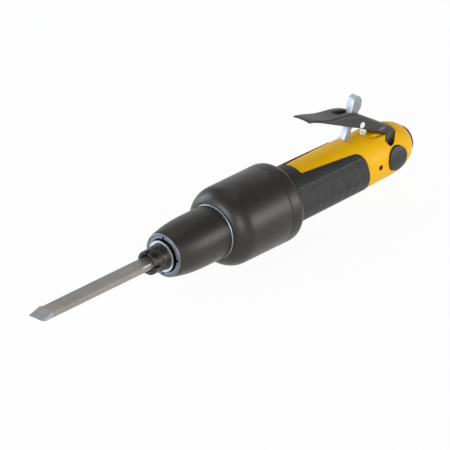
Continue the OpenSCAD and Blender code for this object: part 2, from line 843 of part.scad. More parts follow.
// Pressed channel lever with a hump and a slot for the lock's tab
module throttle_lever() {
    hollow = concat(
        [for (p = lever_top) p - [0, web_t]],
        [[lever_tip[0], 20], [pivot_d + 20, 0], [0, 0], [0, lever_top[0][1] - web_t]]
    );
    color([0.29, 0.29, 0.27]) difference() {
        side_plate(lever_w) lever_outline();
        side_plate(2 * channel_half) polygon(hollow);
        across(pivot_pin_r + slide_fit, lever_w + 2, pivot_d, pivot_z);
        across(lock_pin_r + seat_gap, lever_w + 2, lock_d, lock_z);
        translate([-slot_to, -slot_half, lock_z - lock_hub_r])
            cube([slot_to - slot_from, 2 * slot_half, 30]);
    }
}

// Hard pad under the lever that pushes the valve stem
module lever_pad() {
    pad_r = 3.2;
    color([0.5, 0.5, 0.5]) intersection() {
        upright(pad_r, stem_top + run_gap, stem_top + 12);
        side_plate(4 * pad_r) polygon([
            lever_top[1] - [0, web_t + 0.02], lever_top[2] - [0, web_t + 0.02],
            [lever_top[2][0], 0], [lever_top[1][0], 0]
        ]);
    }
}

// Pin through the lever that the lock turns on, with a head on each side
module lock_pin() {
    head_t = 0.6;
    color([0.8, 0.8, 0.82]) {
        across(lock_pin_r, lever_w + 0.2, lock_d, lock_z);
        for (side = [-1, 1])
            translate([0, side * (lever_half + 0.02 + head_t / 2), 0])
                across(lock_head_r, head_t, lock_d, lock_z);
    }
}

// Spring beside the lock that keeps its foot down
module lock_spring() {
    from = lock_w / 2 + 0.25;
    color([0.6, 0.6, 0.62]) translate([-lock_d, from, lock_z]) rotate([-90, 0, 0])
        coil(lock_pin_r + 0.8, 0.25, channel_half - from - 0.1, 2.5);
}

// Safety lock: a tab through the lever's slot and a foot above the handle
module safety_lock() {
    color([0.82, 0.84, 0.88]) difference() {
        side_plate(lock_w) union() {
            polygon([for (p = lock_outline) lock_pin_at + p]);
            translate(lock_pin_at) circle(r = lock_hub_r);
        }
        across(lock_pin_r + slide_fit, lock_w + 2, lock_d, lock_z);
    }
}

// Valve stem with its head
module valve_stem() {
    edge = 0.8;
    color([0.8, 0.8, 0.82]) {
        upright(stem_r, bushing_floor + 0.4, stem_top - edge);
        translate([-valve_d, 0, stem_top - edge])
            cylinder(r1 = stem_r, r2 = stem_r - edge, h = edge);
        upright(stem_thin_r, head_top - 1, bushing_floor + 1);
        upright(head_r, head_bottom, head_top);
    }
}

// Rubber face of the valve head
module head_seal() {
    color([0.08, 0.08, 0.08]) difference() {
        upright(head_r, head_top, head_top + 0.7);
        upright(stem_thin_r + seat_gap, head_top - 1, head_top + 2);
    }
}

// Bushing that guides the chisel's shank and carries the retainer
module tool_bushing() {
    washer_t = 2.6;
    color([0.4, 0.4, 0.42]) difference() {
        union() {
            bar(tube_r, cylinder_front, tube_front - washer_t);
            bar(unit_flange_r, cylinder_front, unit_flange_front);
            bar(cylinder_bore_r - seat_gap, cylinder_front - spigot_in, cylinder_front + 1);
        }
        bar(shank_bore_r, cylinder_front - spigot_in - 1, tube_front);
        bar(retainer_r + seat_gap, shoulder, tube_front + 1);
    }
}

// Bright ring at the front of the tool bushing
module front_washer() {
    color([0.85, 0.86, 0.88])
        chamfered_tube(tube_r, retainer_r + seat_gap, tube_front - 2.6, tube_front, 0.4);
}

// Castellated retainer screwed into the tool bushing
module retainer_sleeve() {
    edge = 0.8;
    cut = 2 * retainer_r + 2;
    color([0.2, 0.2, 0.2]) difference() {
        chamfered_tube(retainer_r, retainer_bore_r, retainer_back, retainer_front, edge);
        for (a = [0, 90]) forward(retainer_front - notch_len) rotate([0, 0, a]) {
            translate([-cut / 2, -notch_w / 2, notch_w / 2]) cube([cut, notch_w, notch_len]);
            translate([0, 0, notch_w / 2]) rotate([0, 90, 0])
                cylinder(r = notch_w / 2, h = cut, center = true);
        }
    }
}

// Rubber buffer that stops the chisel's collar
module retainer_buffer() {
    color([0.1, 0.1, 0.1])
        tube(retainer_r - 0.1, retainer_bore_r, buffer_back, retainer_back - little);
}

// Cylinder that the piston strikes in
module percussion_cylinder() {
    port_r = 2;
    color([0.5, 0.5, 0.52]) difference() {
        tube(unit_r, cylinder_bore_r, cylinder_back, cylinder_front);
        for (a = [0:90:270]) forward(cylinder_back + cylinder_len * 0.45) rotate([0, 0, a])
            rotate([0, 90, 0]) cylinder(r = port_r, h = 30);
    }
}

// Port plate of the valve chest
module port_plate() {
    color([0.55, 0.55, 0.57]) difference() {
        tube(unit_r, 2.5, plate_back, cylinder_back);
        for (a = [0:60:300]) rotate([a, 0, 0]) translate([0, 0, 5.5])
            bar(1.2, plate_back - 1, cylinder_back + 1);
    }
}

// Cage that the disc valve shifts in
module valve_cage() {
    color([0.55, 0.55, 0.57]) tube(unit_r, 9, cage_back, plate_back);
}

// Cap that closes the unit and slides in the guide ring
module cylinder_cap() {
    groove_d = cap_back + 2;
    color([0.5, 0.5, 0.52]) difference() {
        tube(cap_r, air_tube_r + slide_fit + 0.02, cap_back, cage_back);
        tube(air_tube_r + 1.6, air_tube_r - 1, groove_d, groove_d + 1.8);
    }
}

// Seal between the cap and the air tube
module cap_seal() {
    color([0.08, 0.08, 0.08])
        tube(air_tube_r + 1.55, air_tube_r + slide_fit + 0.02, cap_back + 2.05, cap_back + 3.75);
}

// Disc valve that turns the air round for each stroke
module disc_valve() {
    color([0.75, 0.75, 0.77]) tube(8.6, 1.5, cage_back + 0.3, cage_back + 0.3 + disc_t);
}

// Free piston
module piston() {
    color([0.7, 0.7, 0.72]) difference() {
        chamfered_tube(piston_r, 0, piston_back, piston_front, 0.8);
        for (i = [0:2]) tube(piston_r + 1, piston_r - 0.4,
            piston_back + 7 + 5 * i, piston_back + 8 + 5 * i);
    }
}

// Flat chisel with a round shank, a collar and a bevelled edge
module chisel() {
    collar_back_d = shoulder + collar_rest_gap;
    collar_front_d = collar_back_d + shank_collar_len;
    neck_front = collar_front_d + 3;
    flare_start = chisel_tip - flare_len;
    half_t = blade_t / 2;
    bevel_start = chisel_tip - bevel_len;
    edge_z = -0.3;
    color([0.6, 0.59, 0.57]) {
        bar(shank_r, anvil, neck_front);
        bar(shank_collar_r, collar_back_d, collar_front_d);
        intersection() {
            linear_extrude(2 * blade_t, center = true) mirror([1, 0, 0]) polygon([
                [neck_front - 1, -blade_w / 2], [flare_start, -blade_end_w / 2],
                [chisel_tip, -edge_w / 2], [chisel_tip, edge_w / 2],
                [flare_start, blade_end_w / 2], [neck_front - 1, blade_w / 2]
            ]);
            side_plate(4 * edge_w) polygon([
                [neck_front - 2, -half_t], [bevel_start, -half_t], [chisel_tip, edge_z - 0.15],
                [chisel_tip, edge_z + 0.15], [bevel_start, half_t], [neck_front - 2, half_t]
            ]);
        }
    }
}

nose_sleeve();
nose_ring();
nose_wiper();
nose_bushing();
front_spring();
cylinder_housing();
silencer_sleeve();
rear_guide_ring();
spacer_sleeve();
housing_oring();
rear_collar();
rear_spring();
handle_body();
rubber_grip();
chamber_plug();
chamber_oring();
air_tube();
valve_bushing();
bushing_oring();
valve_seat();
valve_spring();
valve_plug();
set_screw();
lever_pin();
inlet_bushing();
inlet_strainer();
end_ring();
side_cover_near();
side_cover_far();
throttle_lever();
lever_pad();
lock_pin();
lock_spring();
safety_lock();
valve_stem();
head_seal();
tool_bushing();
front_washer();
retainer_sleeve();
retainer_buffer();
percussion_cylinder();
port_plate();
valve_cage();
cylinder_cap();
cap_seal();
disc_valve();
piston();
chisel();
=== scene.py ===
import math

import bmesh
import bpy
from mathutils import Matrix, Vector


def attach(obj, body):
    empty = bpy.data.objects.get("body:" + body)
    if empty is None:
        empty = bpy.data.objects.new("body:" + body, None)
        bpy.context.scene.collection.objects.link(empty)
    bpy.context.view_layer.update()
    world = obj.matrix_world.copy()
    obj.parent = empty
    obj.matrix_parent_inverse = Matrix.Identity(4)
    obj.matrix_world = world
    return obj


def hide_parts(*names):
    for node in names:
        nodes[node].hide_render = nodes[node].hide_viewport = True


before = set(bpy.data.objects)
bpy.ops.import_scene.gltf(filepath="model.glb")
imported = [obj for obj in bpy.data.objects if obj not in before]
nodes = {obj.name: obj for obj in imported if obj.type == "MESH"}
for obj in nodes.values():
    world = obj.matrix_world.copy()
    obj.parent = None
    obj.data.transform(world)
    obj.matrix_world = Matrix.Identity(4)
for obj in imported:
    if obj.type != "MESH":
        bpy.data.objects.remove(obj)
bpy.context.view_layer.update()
mm = 0.001
fullTurn = 2 * math.pi
touching = 0.002 * mm  # points nearer than this are one point
print("frame loaded with", len(nodes), "nodes")

# d is a station: the distance along the tool in millimetres, from the inlet mouth towards the chisel


def at(d, y=0, z=0):
    return Vector((-d, y, z)) * mm


def sideView(d, z):
    return at(d, 0, z)


def topView(d, y):
    return at(d, y, 0)


def activate(piece):
    if bpy.context.mode != "OBJECT":
        bpy.ops.object.mode_set(mode="OBJECT")
    bpy.ops.object.select_all(action="DESELECT")
    if piece:
        piece.select_set(True)
        bpy.context.view_layer.objects.active = piece


def startPiece(name, addPrimitive, **settings):
    # a primitive at its size and place, open for editing
    activate(None)
    addPrimitive(**settings)
    piece = bpy.context.object
    piece.name = name
    bpy.ops.object.transform_apply(location=True, rotation=True, scale=True)
    bpy.ops.object.mode_set(mode="EDIT")
    return piece


def pickPoints(piece, *points):
    # selects the vertices that lie on the given points
    bpy.ops.mesh.select_mode(type="VERT")
    bpy.ops.mesh.select_all(action="DESELECT")
    mesh = bmesh.from_edit_mesh(piece.data)
    for vertex in mesh.verts:
        vertex.select = any((vertex.co - point).length < touching for point in points)
    mesh.select_flush(True)
    bmesh.update_edit_mesh(piece.data)


def drawLine(name, points):
    # one point drawn out into a chain of edges
    piece = startPiece(name, bpy.ops.mesh.primitive_plane_add, size=mm)
    bpy.ops.mesh.merge(type="CENTER")
    bpy.ops.transform.translate(value=points[0])
    for here, there in zip(points, points[1:]):
        bpy.ops.mesh.extrude_vertices_move(TRANSFORM_OT_translate={"value": there - here})
    return piece


def drawOutline(name, rows, view, closed=True, segments=5):
    # rows are (along, across) or (along, across, corner radius)
    points = [view(row[0], row[1]) for row in rows]
    piece = drawLine(name, points)
    if closed:
        pickPoints(piece, points[0], points[-1])
        bpy.ops.mesh.edge_face_add()
    for row, point in zip(rows, points):
        if len(row) > 2 and row[2]:
            pickPoints(piece, point)
            bpy.ops.mesh.bevel(offset=row[2] * mm, segments=segments, affect="VERTICES")
    bpy.ops.mesh.select_all(action="SELECT")
    return piece


def faceOutwards():
    # merges the seam and turns the faces of the mesh in edit mode outwards
    bpy.ops.mesh.select_all(action="SELECT")
    bpy.ops.mesh.remove_doubles(threshold=touching)
    bpy.ops.mesh.normals_make_consistent(inside=False)
    bpy.ops.object.mode_set(mode="OBJECT")


def turn(name, rows, closed=True, steps=96, segments=5):
    # a profile of (d, radius, corner) turned about the tool's axis
    piece = drawOutline(name, rows, sideView, closed, segments)
    bpy.ops.mesh.spin(steps=steps, angle=fullTurn, center=(0, 0, 0), axis=(1, 0, 0))
    faceOutwards()
    return piece


def plate(name, rows, view, low, high, segments=5):
    # an outline filled and pulled from one level to another, in millimetres across its view
    across = {sideView: Vector((0, mm, 0)), topView: Vector((0, 0, mm))}[view]
    piece = drawOutline(name, rows, view, True, segments)
    bpy.ops.mesh.edge_face_add()
    bpy.ops.transform.translate(value=across * low)
    bpy.ops.mesh.extrude_region_move(TRANSFORM_OT_translate={"value": across * (high - low)})
    faceOutwards()
    return piece


def stand(piece, location, rotation=(0, 0, 0)):
    # turns and moves a finished mesh to its place
    activate(piece)
    piece.rotation_euler = rotation
    piece.location = location
    bpy.ops.object.transform_apply(location=True, rotation=True, scale=True)


def rod(name, radius, start, end, vertices=48):
    # a round bar between two points
    along = end - start
    piece = startPiece(name, bpy.ops.mesh.primitive_cylinder_add, vertices=vertices, radius=radius * mm,
                       depth=along.length, location=(start + end) / 2,
                       rotation=along.to_track_quat("Z", "Y").to_euler())
    bpy.ops.object.mode_set(mode="OBJECT")
    return piece


def modify(piece, kind, **settings):
    # adds a modifier and applies it at once
    activate(piece)
    modifier = piece.modifiers.new(kind.title(), kind)
    for word, value in settings.items():
        setattr(modifier, word, value)
    bpy.ops.object.modifier_apply(modifier=modifier.name)


def carve(piece, cutter, operation="DIFFERENCE"):
    modify(piece, "BOOLEAN", object=cutter, operation=operation, solver="EXACT")
    bpy.data.objects.remove(cutter)


def soften(piece, width, segments=2, angle=38):
    modify(piece, "BEVEL", width=width * mm, segments=segments, limit_method="ANGLE",
           angle_limit=math.radians(angle), use_clamp_overlap=True)


def joinPieces(piece, other):
    activate(piece)
    other.select_set(True)
    bpy.ops.object.join()


def finishPiece(piece, body, slot, finish, *replaced, angle=32):
    # shades and dresses a piece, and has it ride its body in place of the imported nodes
    activate(piece)
    bpy.ops.object.shade_smooth_by_angle(angle=math.radians(angle))
    piece.data.materials.clear()
    piece.data.materials.append(finish)
    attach(piece, body)
    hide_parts(*replaced)
    print("piece", piece.name, len(piece.data.polygons), "faces")


def linearColour(hexColour):
    parts = [int(hexColour[i:i + 2], 16) / 255 for i in (1, 3, 5)]
    return [p / 12.92 if p < 0.04045 else ((p + 0.055) / 1.055) ** 2.4 for p in parts] + [1]


def perSize(millimetres):
    # pattern scale whose features come out this large
    return 1 / (millimetres * mm)


def addNode(tree, kind, inputs=None, **settings):
    node = tree.nodes.new("ShaderNode" + kind)
    for word, value in settings.items():
        setattr(node, word, value)
    for socket, value in (inputs or {}).items():
        if isinstance(value, bpy.types.NodeSocket):
            tree.links.new(value, node.inputs[socket])
        else:
            node.inputs[socket].default_value = value
    return node


noiseLook = {"low": 0.3, "high": 0.7, "detail": 3.0, "relief": 0.6}  # low to high holds nearly all of a noise


def makeFinish(name, colours, cloud, gloss, grain, depth, stretch=(1, 1, 1), **constants):
    # two colours mixed in soft clouds, with a fine grain in the gloss and the relief; sizes in millimetres
    # real grain and tool marks are 0.05 to 0.3 mm apart: they are drawn 0.6 mm and more, as a pixel is 0.7 mm
    low, high, detail = noiseLook["low"], noiseLook["high"], noiseLook["detail"]
    finish = bpy.data.materials.new(name)
    finish.use_nodes = True
    tree = finish.node_tree
    shader = tree.nodes["Principled BSDF"]
    for word, value in constants.items():
        shader.inputs[word.replace("_", " ")].default_value = value
    place = addNode(tree, "TexCoord", name="place").outputs["Object"]
    drawn = addNode(tree, "Mapping", {"Vector": place, "Scale": stretch}).outputs["Vector"]
    clouds = addNode(tree, "TexNoise", {"Vector": place, "Scale": perSize(cloud), "Detail": detail})
    marks = addNode(tree, "TexNoise", {"Vector": drawn, "Scale": perSize(grain), "Detail": detail})
    tint = addNode(tree, "ValToRGB", {"Fac": clouds.outputs["Fac"]}, name="tint")
    for stop, position, colour in zip(tint.color_ramp.elements, (low, high), colours):
        stop.position = position
        stop.color = linearColour(colour)
    shine = addNode(tree, "MapRange", {"Value": marks.outputs["Fac"], "From Min": low, "From Max": high,
                                       "To Min": gloss[0], "To Max": gloss[1]})
    relief = addNode(tree, "Bump", {"Height": marks.outputs["Fac"], "Distance": depth * mm,
                                    "Strength": noiseLook["relief"]}, name="relief")
    tree.links.new(tint.outputs["Color"], shader.inputs["Base Color"])
    tree.links.new(shine.outputs["Result"], shader.inputs["Roughness"])
    tree.links.new(relief.outputs["Normal"], shader.inputs["Normal"])
    return finish


def addMask(finish, colour, share, axes, reach, middle=(0, 0, 0)):
    # blends a share of a colour in, fading from the first reach to the second, in millimetres from the middle
    # axes weigh the directions: 0 leaves one out, and a small weight draws the patch out along it
    tree = finish.node_tree
    place = tree.nodes["place"].outputs["Object"]
    offset = addNode(tree, "VectorMath", {0: place, 1: Vector(middle) * mm}, operation="SUBTRACT").outputs[0]
    weighed = addNode(tree, "VectorMath", {0: offset, 1: axes}, operation="MULTIPLY").outputs[0]
    away = addNode(tree, "VectorMath", {0: weighed}, operation="LENGTH").outputs["Value"]
    part = addNode(tree, "MapRange", {"Value": away, "From Min": reach[0] * mm, "From Max": reach[1] * mm,
                                      "To Min": share, "To Max": 0.0}).outputs["Result"]
    base = tree.nodes["Principled BSDF"].inputs["Base Color"]
    mixed = addNode(tree, "Mix", {0: part, 6: base.links[0].from_socket, 7: linearColour(colour)},
                    data_type="RGBA").outputs[2]
    tree.links.new(mixed, base)


ringMarks = (1, 0.04, 0.04)  # turning marks: quick along the tool, slow round it
longMarks = (0.04, 1, 1)  # grinding marks along the tool
uprightMarks = (0.05, 0.05, 1)  # turning marks about the upright valve


def phosphatedSteel():
    # turned steel blackened in a phosphate bath and oiled: a warm dark grey with long soft highlights
    finish = makeFinish("phosphated turned steel", ("#33312e", "#3e3b37"), cloud=26, gloss=(0.33, 0.42),
                        grain=1.1, depth=0.006, stretch=ringMarks, Metallic=0.55)
    # painted highlight: the lip round the nose joint is painted pale, brightest on its near upper side
    addMask(finish, "#c4cad3", 0.6, axes=(1, 0.013, 0.013), reach=(0.25, 0.6), middle=(-195.9, -8, 17))
    # painted light: the nose's front face is painted a mid grey, as lit from the front
    addMask(finish, "#7d8085", 0.8, axes=(1, 0, 0), reach=(1.2, 1.5), middle=(-246, 0, 0))
    return finish


def ringSteel():
    # ground nickel-plated steel, seen on end: a satin pale grey with fine turning marks
    return makeFinish("satin nickel plate", ("#7c8086", "#8f949b"), cloud=5, gloss=(0.34, 0.46),
                      grain=0.6, depth=0.006, stretch=ringMarks, Metallic=0.8)


def washerSteel():
    # polished nickel on the washer's face, nearly a mirror, with painted shade on the rim: black where the gap
    # to the nose ring lies in shade
    finish = makeFinish("nickel face with a painted shade rim", ("#d3d9e2", "#e6eaf0"), cloud=6, gloss=(0.22, 0.3),
                        grain=0.6, depth=0.004, stretch=ringMarks, Metallic=0.7)
    # painted shade: the outer rim is painted black
    addMask(finish, "#0c0c0e", 1.0, axes=(0, 1, 1), reach=(11.6, 11.45))
    return finish


def machinedSteel():
    # plain turned steel inside the tool: grey under a thin film of oil
    return makeFinish("oiled turned steel", ("#85878a", "#9ea0a3"), cloud=7, gloss=(0.25, 0.42),
                      grain=0.8, depth=0.01, stretch=ringMarks, Metallic=1.0)


def retainerSteel():
    # hardened steel, oil-blackened: nearly black, rubbed brighter in patches
    return makeFinish("oil-blackened steel", ("#24221f", "#4a4740"), cloud=4.5, gloss=(0.3, 0.42),
                      grain=1.2, depth=0.008, Metallic=0.6)


def chiselSteel():
    # forged alloy steel ground lengthwise: warm grey with long fine scratches
    finish = makeFinish("ground chisel steel", ("#918c86", "#9c968f"), cloud=16, gloss=(0.4, 0.52),
                        grain=0.7, depth=0.006, stretch=longMarks, Metallic=0.6)
    # the ground bevel at the edge is paler
    addMask(finish, "#b0b2b5", 0.7, axes=(1, 0, 0), reach=(6.2, 6.9), middle=(-368, 0, 0))
    # and a painted highlight: the near top edge is painted white where it leaves the retainer
    addMask(finish, "#f6f6f4", 0.95, axes=(0.14, 1, 1), reach=(0.55, 0.7), middle=(-267, -5.6, 2.3))
    return finish


def yellowEnamel():
    # stoved enamel over a casting: an even deep yellow with a faint orange peel
    finish = makeFinish("yellow stoving enamel", ("#f3b604", "#f8be08"), cloud=22, gloss=(0.36, 0.46),
                        grain=1.6, depth=0.01, Specular_IOR_Level=0.16, Coat_Weight=0.04, Coat_Roughness=0.3)
    # painted shade: the wall of the small side hole is painted a dark red-brown
    addMask(finish, "#7d3406", 1.0, axes=(1, 0.06, 1), reach=(1.94, 1.99), middle=(-44.4, -18.5, 0))
    return finish


# sizes in millimetres, angles from straight up in radians; the scales are pressed in 0.9 mm, where real ones
# are about 0.3 mm deep, so that they show
gripLook = {"round": 20.7, "pitch": 8.0, "height": 6.2, "press": 0.9, "flankFrom": 0.95, "flankTo": 0.98,
            "share": 0.22, "ridge": 0.925, "ridgeIn": 0.008, "ridgeOut": 0.022, "ridgeHighlight": 0.75,
            "ridgeHighlightColour": "#5c5c5c"}


def gripRubber():
    # moulded rubber: dark neutral grey and dull, with a fine grain and, on the flanks, flat oval scales
    look = gripLook
    finish = makeFinish("moulded grip rubber", ("#242424", "#2d2d2d"), cloud=9, gloss=(0.5, 0.64), grain=1.1,
                        depth=0.03, Specular_IOR_Level=0.4)
    tree = finish.node_tree
    place = addNode(tree, "SeparateXYZ", {0: tree.nodes["place"].outputs["Object"]})
    angle = addNode(tree, "Math", {0: place.outputs["Y"], 1: place.outputs["Z"]},
                    operation="ARCTAN2").outputs[0]
    # the scales are the product of two waves that lean along the grip and against it
    along = addNode(tree, "Math", {0: place.outputs["X"], 1: perSize(look["pitch"]) * math.pi},
                    operation="MULTIPLY").outputs[0]
    around = addNode(tree, "Math", {0: angle, 1: look["round"] / look["height"] * math.pi},
                     operation="MULTIPLY").outputs[0]
    leans = [addNode(tree, "Math", {0: along, 1: around}, operation=word).outputs[0]
             for word in ("ADD", "SUBTRACT")]
    waves = [addNode(tree, "Math", {0: lean}, operation="SINE").outputs[0] for lean in leans]
    scales = addNode(tree, "Math", {0: waves[0], 1: waves[1]}, operation="MULTIPLY").outputs[0]
    side = addNode(tree, "Math", {0: angle}, operation="ABSOLUTE").outputs[0]
    flank = addNode(tree, "MapRange", {"Value": side, "From Min": look["flankFrom"],
                                       "From Max": look["flankTo"], "To Min": 0.0,
                                       "To Max": look["share"]}).outputs["Result"]
    height = addNode(tree, "Math", {0: scales, 1: flank}, operation="MULTIPLY").outputs[0]
    pressed = addNode(tree, "Bump", {"Height": height, "Distance": look["press"] * mm, "Strength": 1.0,
                                     "Normal": tree.nodes["relief"].outputs["Normal"]})
    shader = tree.nodes["Principled BSDF"]
    tree.links.new(pressed.outputs["Normal"], shader.inputs["Normal"])
    # painted highlight: the ridge along each flank is painted paler
    apart = addNode(tree, "Math", {0: side, 1: look["ridge"]}, operation="SUBTRACT").outputs[0]
    apart = addNode(tree, "Math", {0: apart}, operation="ABSOLUTE").outputs[0]
    ridgeHighlight = addNode(tree, "MapRange", {"Value": apart, "From Min": look["ridgeIn"],
                                        "From Max": look["ridgeOut"], "To Min": look["ridgeHighlight"],
                                        "To Max": 0.0}).outputs["Result"]
    mixed = addNode(tree, "Mix", {0: ridgeHighlight, 6: tree.nodes["tint"].outputs["Color"],
                                  7: linearColour(look["ridgeHighlightColour"])}, data_type="RGBA").outputs[2]
    tree.links.new(mixed, shader.inputs["Base Color"])
    return finish


def leverCoat():
    # black powder coat on pressed steel: dark warm grey, satin, with a fine peel
    finish = makeFinish("black powder coat", ("#252422", "#2d2c2a"), cloud=14, gloss=(0.36, 0.46), grain=1.2,
                        depth=0.012, Specular_IOR_Level=0.5)
    # painted highlight: a pale streak on the flanges above the legs
    addMask(finish, "#8c8a86", 0.55, axes=(0.45, 0, 1.3), reach=(0.4, 2.2), middle=(-31.5, 0, 22.2))
    # painted light: the legs are painted a paler grey, standing in for light in the pocket's shade
    addMask(finish, "#6f6d69", 0.9, axes=(1, 0, 1), reach=(5, 9), middle=(-23, 0, 9))
    return finish


def zincCasting():
    # zinc die casting, tumbled: mid grey on the parted flanks, with painted light between them: pale and
    # faintly blue, as lit by the blue front lamps
    finish = makeFinish("tumbled zinc casting", ("#8c8b89", "#9e9d9b"), cloud=3, gloss=(0.34, 0.44), grain=1.4,
                        depth=0.008, Metallic=0.45)
    # painted light: the faces between the flanks are painted pale and faintly blue
    addMask(finish, "#ccd5e0", 0.85, axes=(0, 1, 0), reach=(2.7, 2.95))
    return finish


def stemSteel():
    # lapped valve stem: pale steel, and partly painted light: near white and dull, so that it shows bright in
    # the shade among the yellow
    return makeFinish("lapped stem steel", ("#dcdfe4", "#eff1f4"), cloud=3, gloss=(0.2, 0.3), grain=0.6,
                      depth=0.004, stretch=uprightMarks, Metallic=0.3)


def blackNylon():
    # glass-filled nylon with a spark-eroded grain: black, matt, finely pitted
    return makeFinish("black glass-filled nylon", ("#19191a", "#2e2e2f"), cloud=4.5, gloss=(0.34, 0.6),
                      grain=1.5, depth=0.05, Specular_IOR_Level=0.5)


def sealRubber():
    # nitrile rubber seals: black and slightly greasy
    return makeFinish("nitrile rubber", ("#161616", "#222222"), cloud=2, gloss=(0.5, 0.65), grain=1,
                      depth=0.01, Specular_IOR_Level=0.4)


def bearingBronze():
    # leaded bronze, bored and burnished: reddish gold with turning marks
    return makeFinish("turned bearing bronze", ("#b07a3c", "#c8924f"), cloud=5, gloss=(0.28, 0.42), grain=0.7,
                      depth=0.008, stretch=ringMarks, Metallic=1.0)


def valveBrass():
    # free-cutting brass: pale gold, turned about the upright valve
    return makeFinish("turned brass", ("#c9a75a", "#dcc077"), cloud=4, gloss=(0.22, 0.36), grain=0.7,
                      depth=0.008, stretch=uprightMarks, Metallic=1.0)


def springSteel():
    # drawn music wire: grey-blue with an even shine
    return makeFinish("drawn spring wire", ("#8a8d93", "#a9acb1"), cloud=3, gloss=(0.25, 0.38), grain=0.6,
                      depth=0.006, Metallic=1.0)


def sinteredBronze():
    # sintered bronze: dull brownish gold with a sandy surface
    return makeFinish("sintered bronze", ("#5c4a30", "#a4875a"), cloud=0.8, gloss=(0.5, 0.7), grain=0.6,
                      depth=0.15, Metallic=0.8)


def acetalPad():
    # natural acetal: off-white and waxy
    return makeFinish("natural acetal", ("#d8d5cb", "#e6e3da"), cloud=1.5, gloss=(0.35, 0.5), grain=1.2,
                      depth=0.01, Subsurface_Weight=0.1, Subsurface_Scale=0.001)


def holeShadeScrew():
    # painted shade: the screw deep in its hole is painted dark orange, as the yellow hole looks in shade
    return makeFinish("screw painted in hole shade", ("#6e2c05", "#93440c"), cloud=1, gloss=(0.5, 0.7), grain=0.8,
                      depth=0.02, Specular_IOR_Level=0.3)


def pinSteel():
    # hardened dowel left black from the furnace
    return makeFinish("furnace-black pin", ("#101011", "#222224"), cloud=2, gloss=(0.35, 0.5), grain=0.9,
                      depth=0.01, Metallic=0.6)


phosphate, ringFinish, washerFinish = phosphatedSteel(), ringSteel(), washerSteel()
machined, retainerFinish, chiselFinish = machinedSteel(), retainerSteel(), chiselSteel()
enamel, rubber, coat, zinc, nylon = yellowEnamel(), gripRubber(), leverCoat(), zincCasting(), blackNylon()
seal, bronze, brass, wire = sealRubber(), bearingBronze(), valveBrass(), springSteel()
sintered, acetal, holeShade = sinteredBronze(), acetalPad(), holeShadeScrew()
blackPin, stemFinish = pinSteel(), stemSteel()
print("materials made")


# sizes are in millimetres; a profile's rows are station, radius and, where it is rounded, corner radius

noseSize = {"back": 184.2, "spigot": 18.45, "inside": 16.9, "joint": 196.2, "radius": 19.7, "straight": 214,
            "front": 245.1, "frontRadius": 16.2, "bore": 14.62, "shelf": 226.2, "edge": 0.5, "edgeIn": 0.08}
noseTaper = [(218, 19.66), (222, 19.55), (226, 19.3), (230, 18.9), (234, 18.35), (238, 17.68), (241.5, 16.95),
             (244.3, 16.25)]


def makeNose():
    s = noseSize
    edge = s["edge"]
    rows = [(s["back"], s["inside"]), (s["back"], s["spigot"], 0.5), (s["joint"], s["spigot"]),
            (s["joint"], s["radius"] - edge), (s["joint"] + edge, s["radius"] - s["edgeIn"]),
            (s["joint"] + 2 * edge, s["radius"]), (s["straight"], s["radius"])]
    rows += noseTaper + [(s["front"], s["frontRadius"] - 0.7, 0.4), (s["front"], s["bore"], 0.2),
                         (s["shelf"], s["bore"]), (s["shelf"], s["inside"])]
    finishPiece(turn("noseSleeve", rows, steps=128), "housing", "dark_housing", phosphate, "nose_sleeve")


noseRingSize = {"back": 239.5, "front": 245, "bore": 12.3, "outer": 14.5, "notch": 1.7, "notchDepth": 4,
                "notchFoot": 12, "notchHead": 16, "notches": 4}


def makeNoseRing():
    s = noseRingSize
    ring = turn("noseRing", [(s["back"], s["bore"]), (s["back"], s["outer"]), (s["front"], s["outer"], 0.15),
                             (s["front"], s["bore"], 0.25)])
    half, floor, past = s["notch"] / 2, s["front"] - s["notchDepth"], s["front"] + 1
    outline = [(past, s["notchFoot"]), (floor, s["notchFoot"]), (floor, s["notchHead"]), (past, s["notchHead"])]
    for turned in range(s["notches"]):
        notch = plate("notchCut", outline, sideView, -half, half)
        stand(notch, (0, 0, 0), (turned * fullTurn / s["notches"], 0, 0))
        carve(ring, notch)
    finishPiece(ring, "housing", "dark_housing", ringFinish, "nose_ring")


housingSize = {"seam": 143.8, "front": 196.1, "radius": 28.995, "flatEnd": 181.7, "lip": 19.5, "mouth": 18.5,
               "mouthBack": 182, "cavity": 24, "cavityFront": 178, "cavityBack": 152, "recess": 26.9}
housingEdge = [(0.05, 0.45), (0.4, 0.05), (0.8, 0)]  # in from the seam and from the radius
housingShoulder = [(184.2, 28.8), (186.6, 28.17), (187.1, 27.93), (188.9, 27.15), (190.8, 25.98),
                   (192.4, 24.55), (193.6, 23.05), (194.3, 21.8), (194.7, 20.85), (194.86, 20.3),
                   (194.9, 20.05, 0.15), (195.5, 20.0, 0.2)]


def makeHousing():
    s = housingSize
    outside = [(s["seam"], s["recess"])] + [(s["seam"] + d, s["radius"] - r) for d, r in housingEdge]
    outside += [(s["flatEnd"], s["radius"])] + housingShoulder + [(s["front"], s["lip"], 0.2)]
    inside = [(s["front"], s["mouth"]), (s["mouthBack"], s["mouth"]), (s["cavityFront"], s["cavity"]),
              (s["cavityBack"], s["cavity"]), (s["cavityBack"], s["recess"])]
    housing = turn("cylinderHousing", outside + inside, steps=160)
    finishPiece(housing, "housing", "dark_housing", phosphate, "cylinder_housing", angle=40)


collarSize = {"back": 129.6, "seam": 143.7, "radius": 28.995, "round": 6.9, "bore": 18.56, "front": 146,
              "recess": 25.5, "seat": 20.95, "seatBack": 134}
collarEdge = [(0.7, 0), (0.3, 0.05), (0, 0.45)]  # in from the seam and from the radius


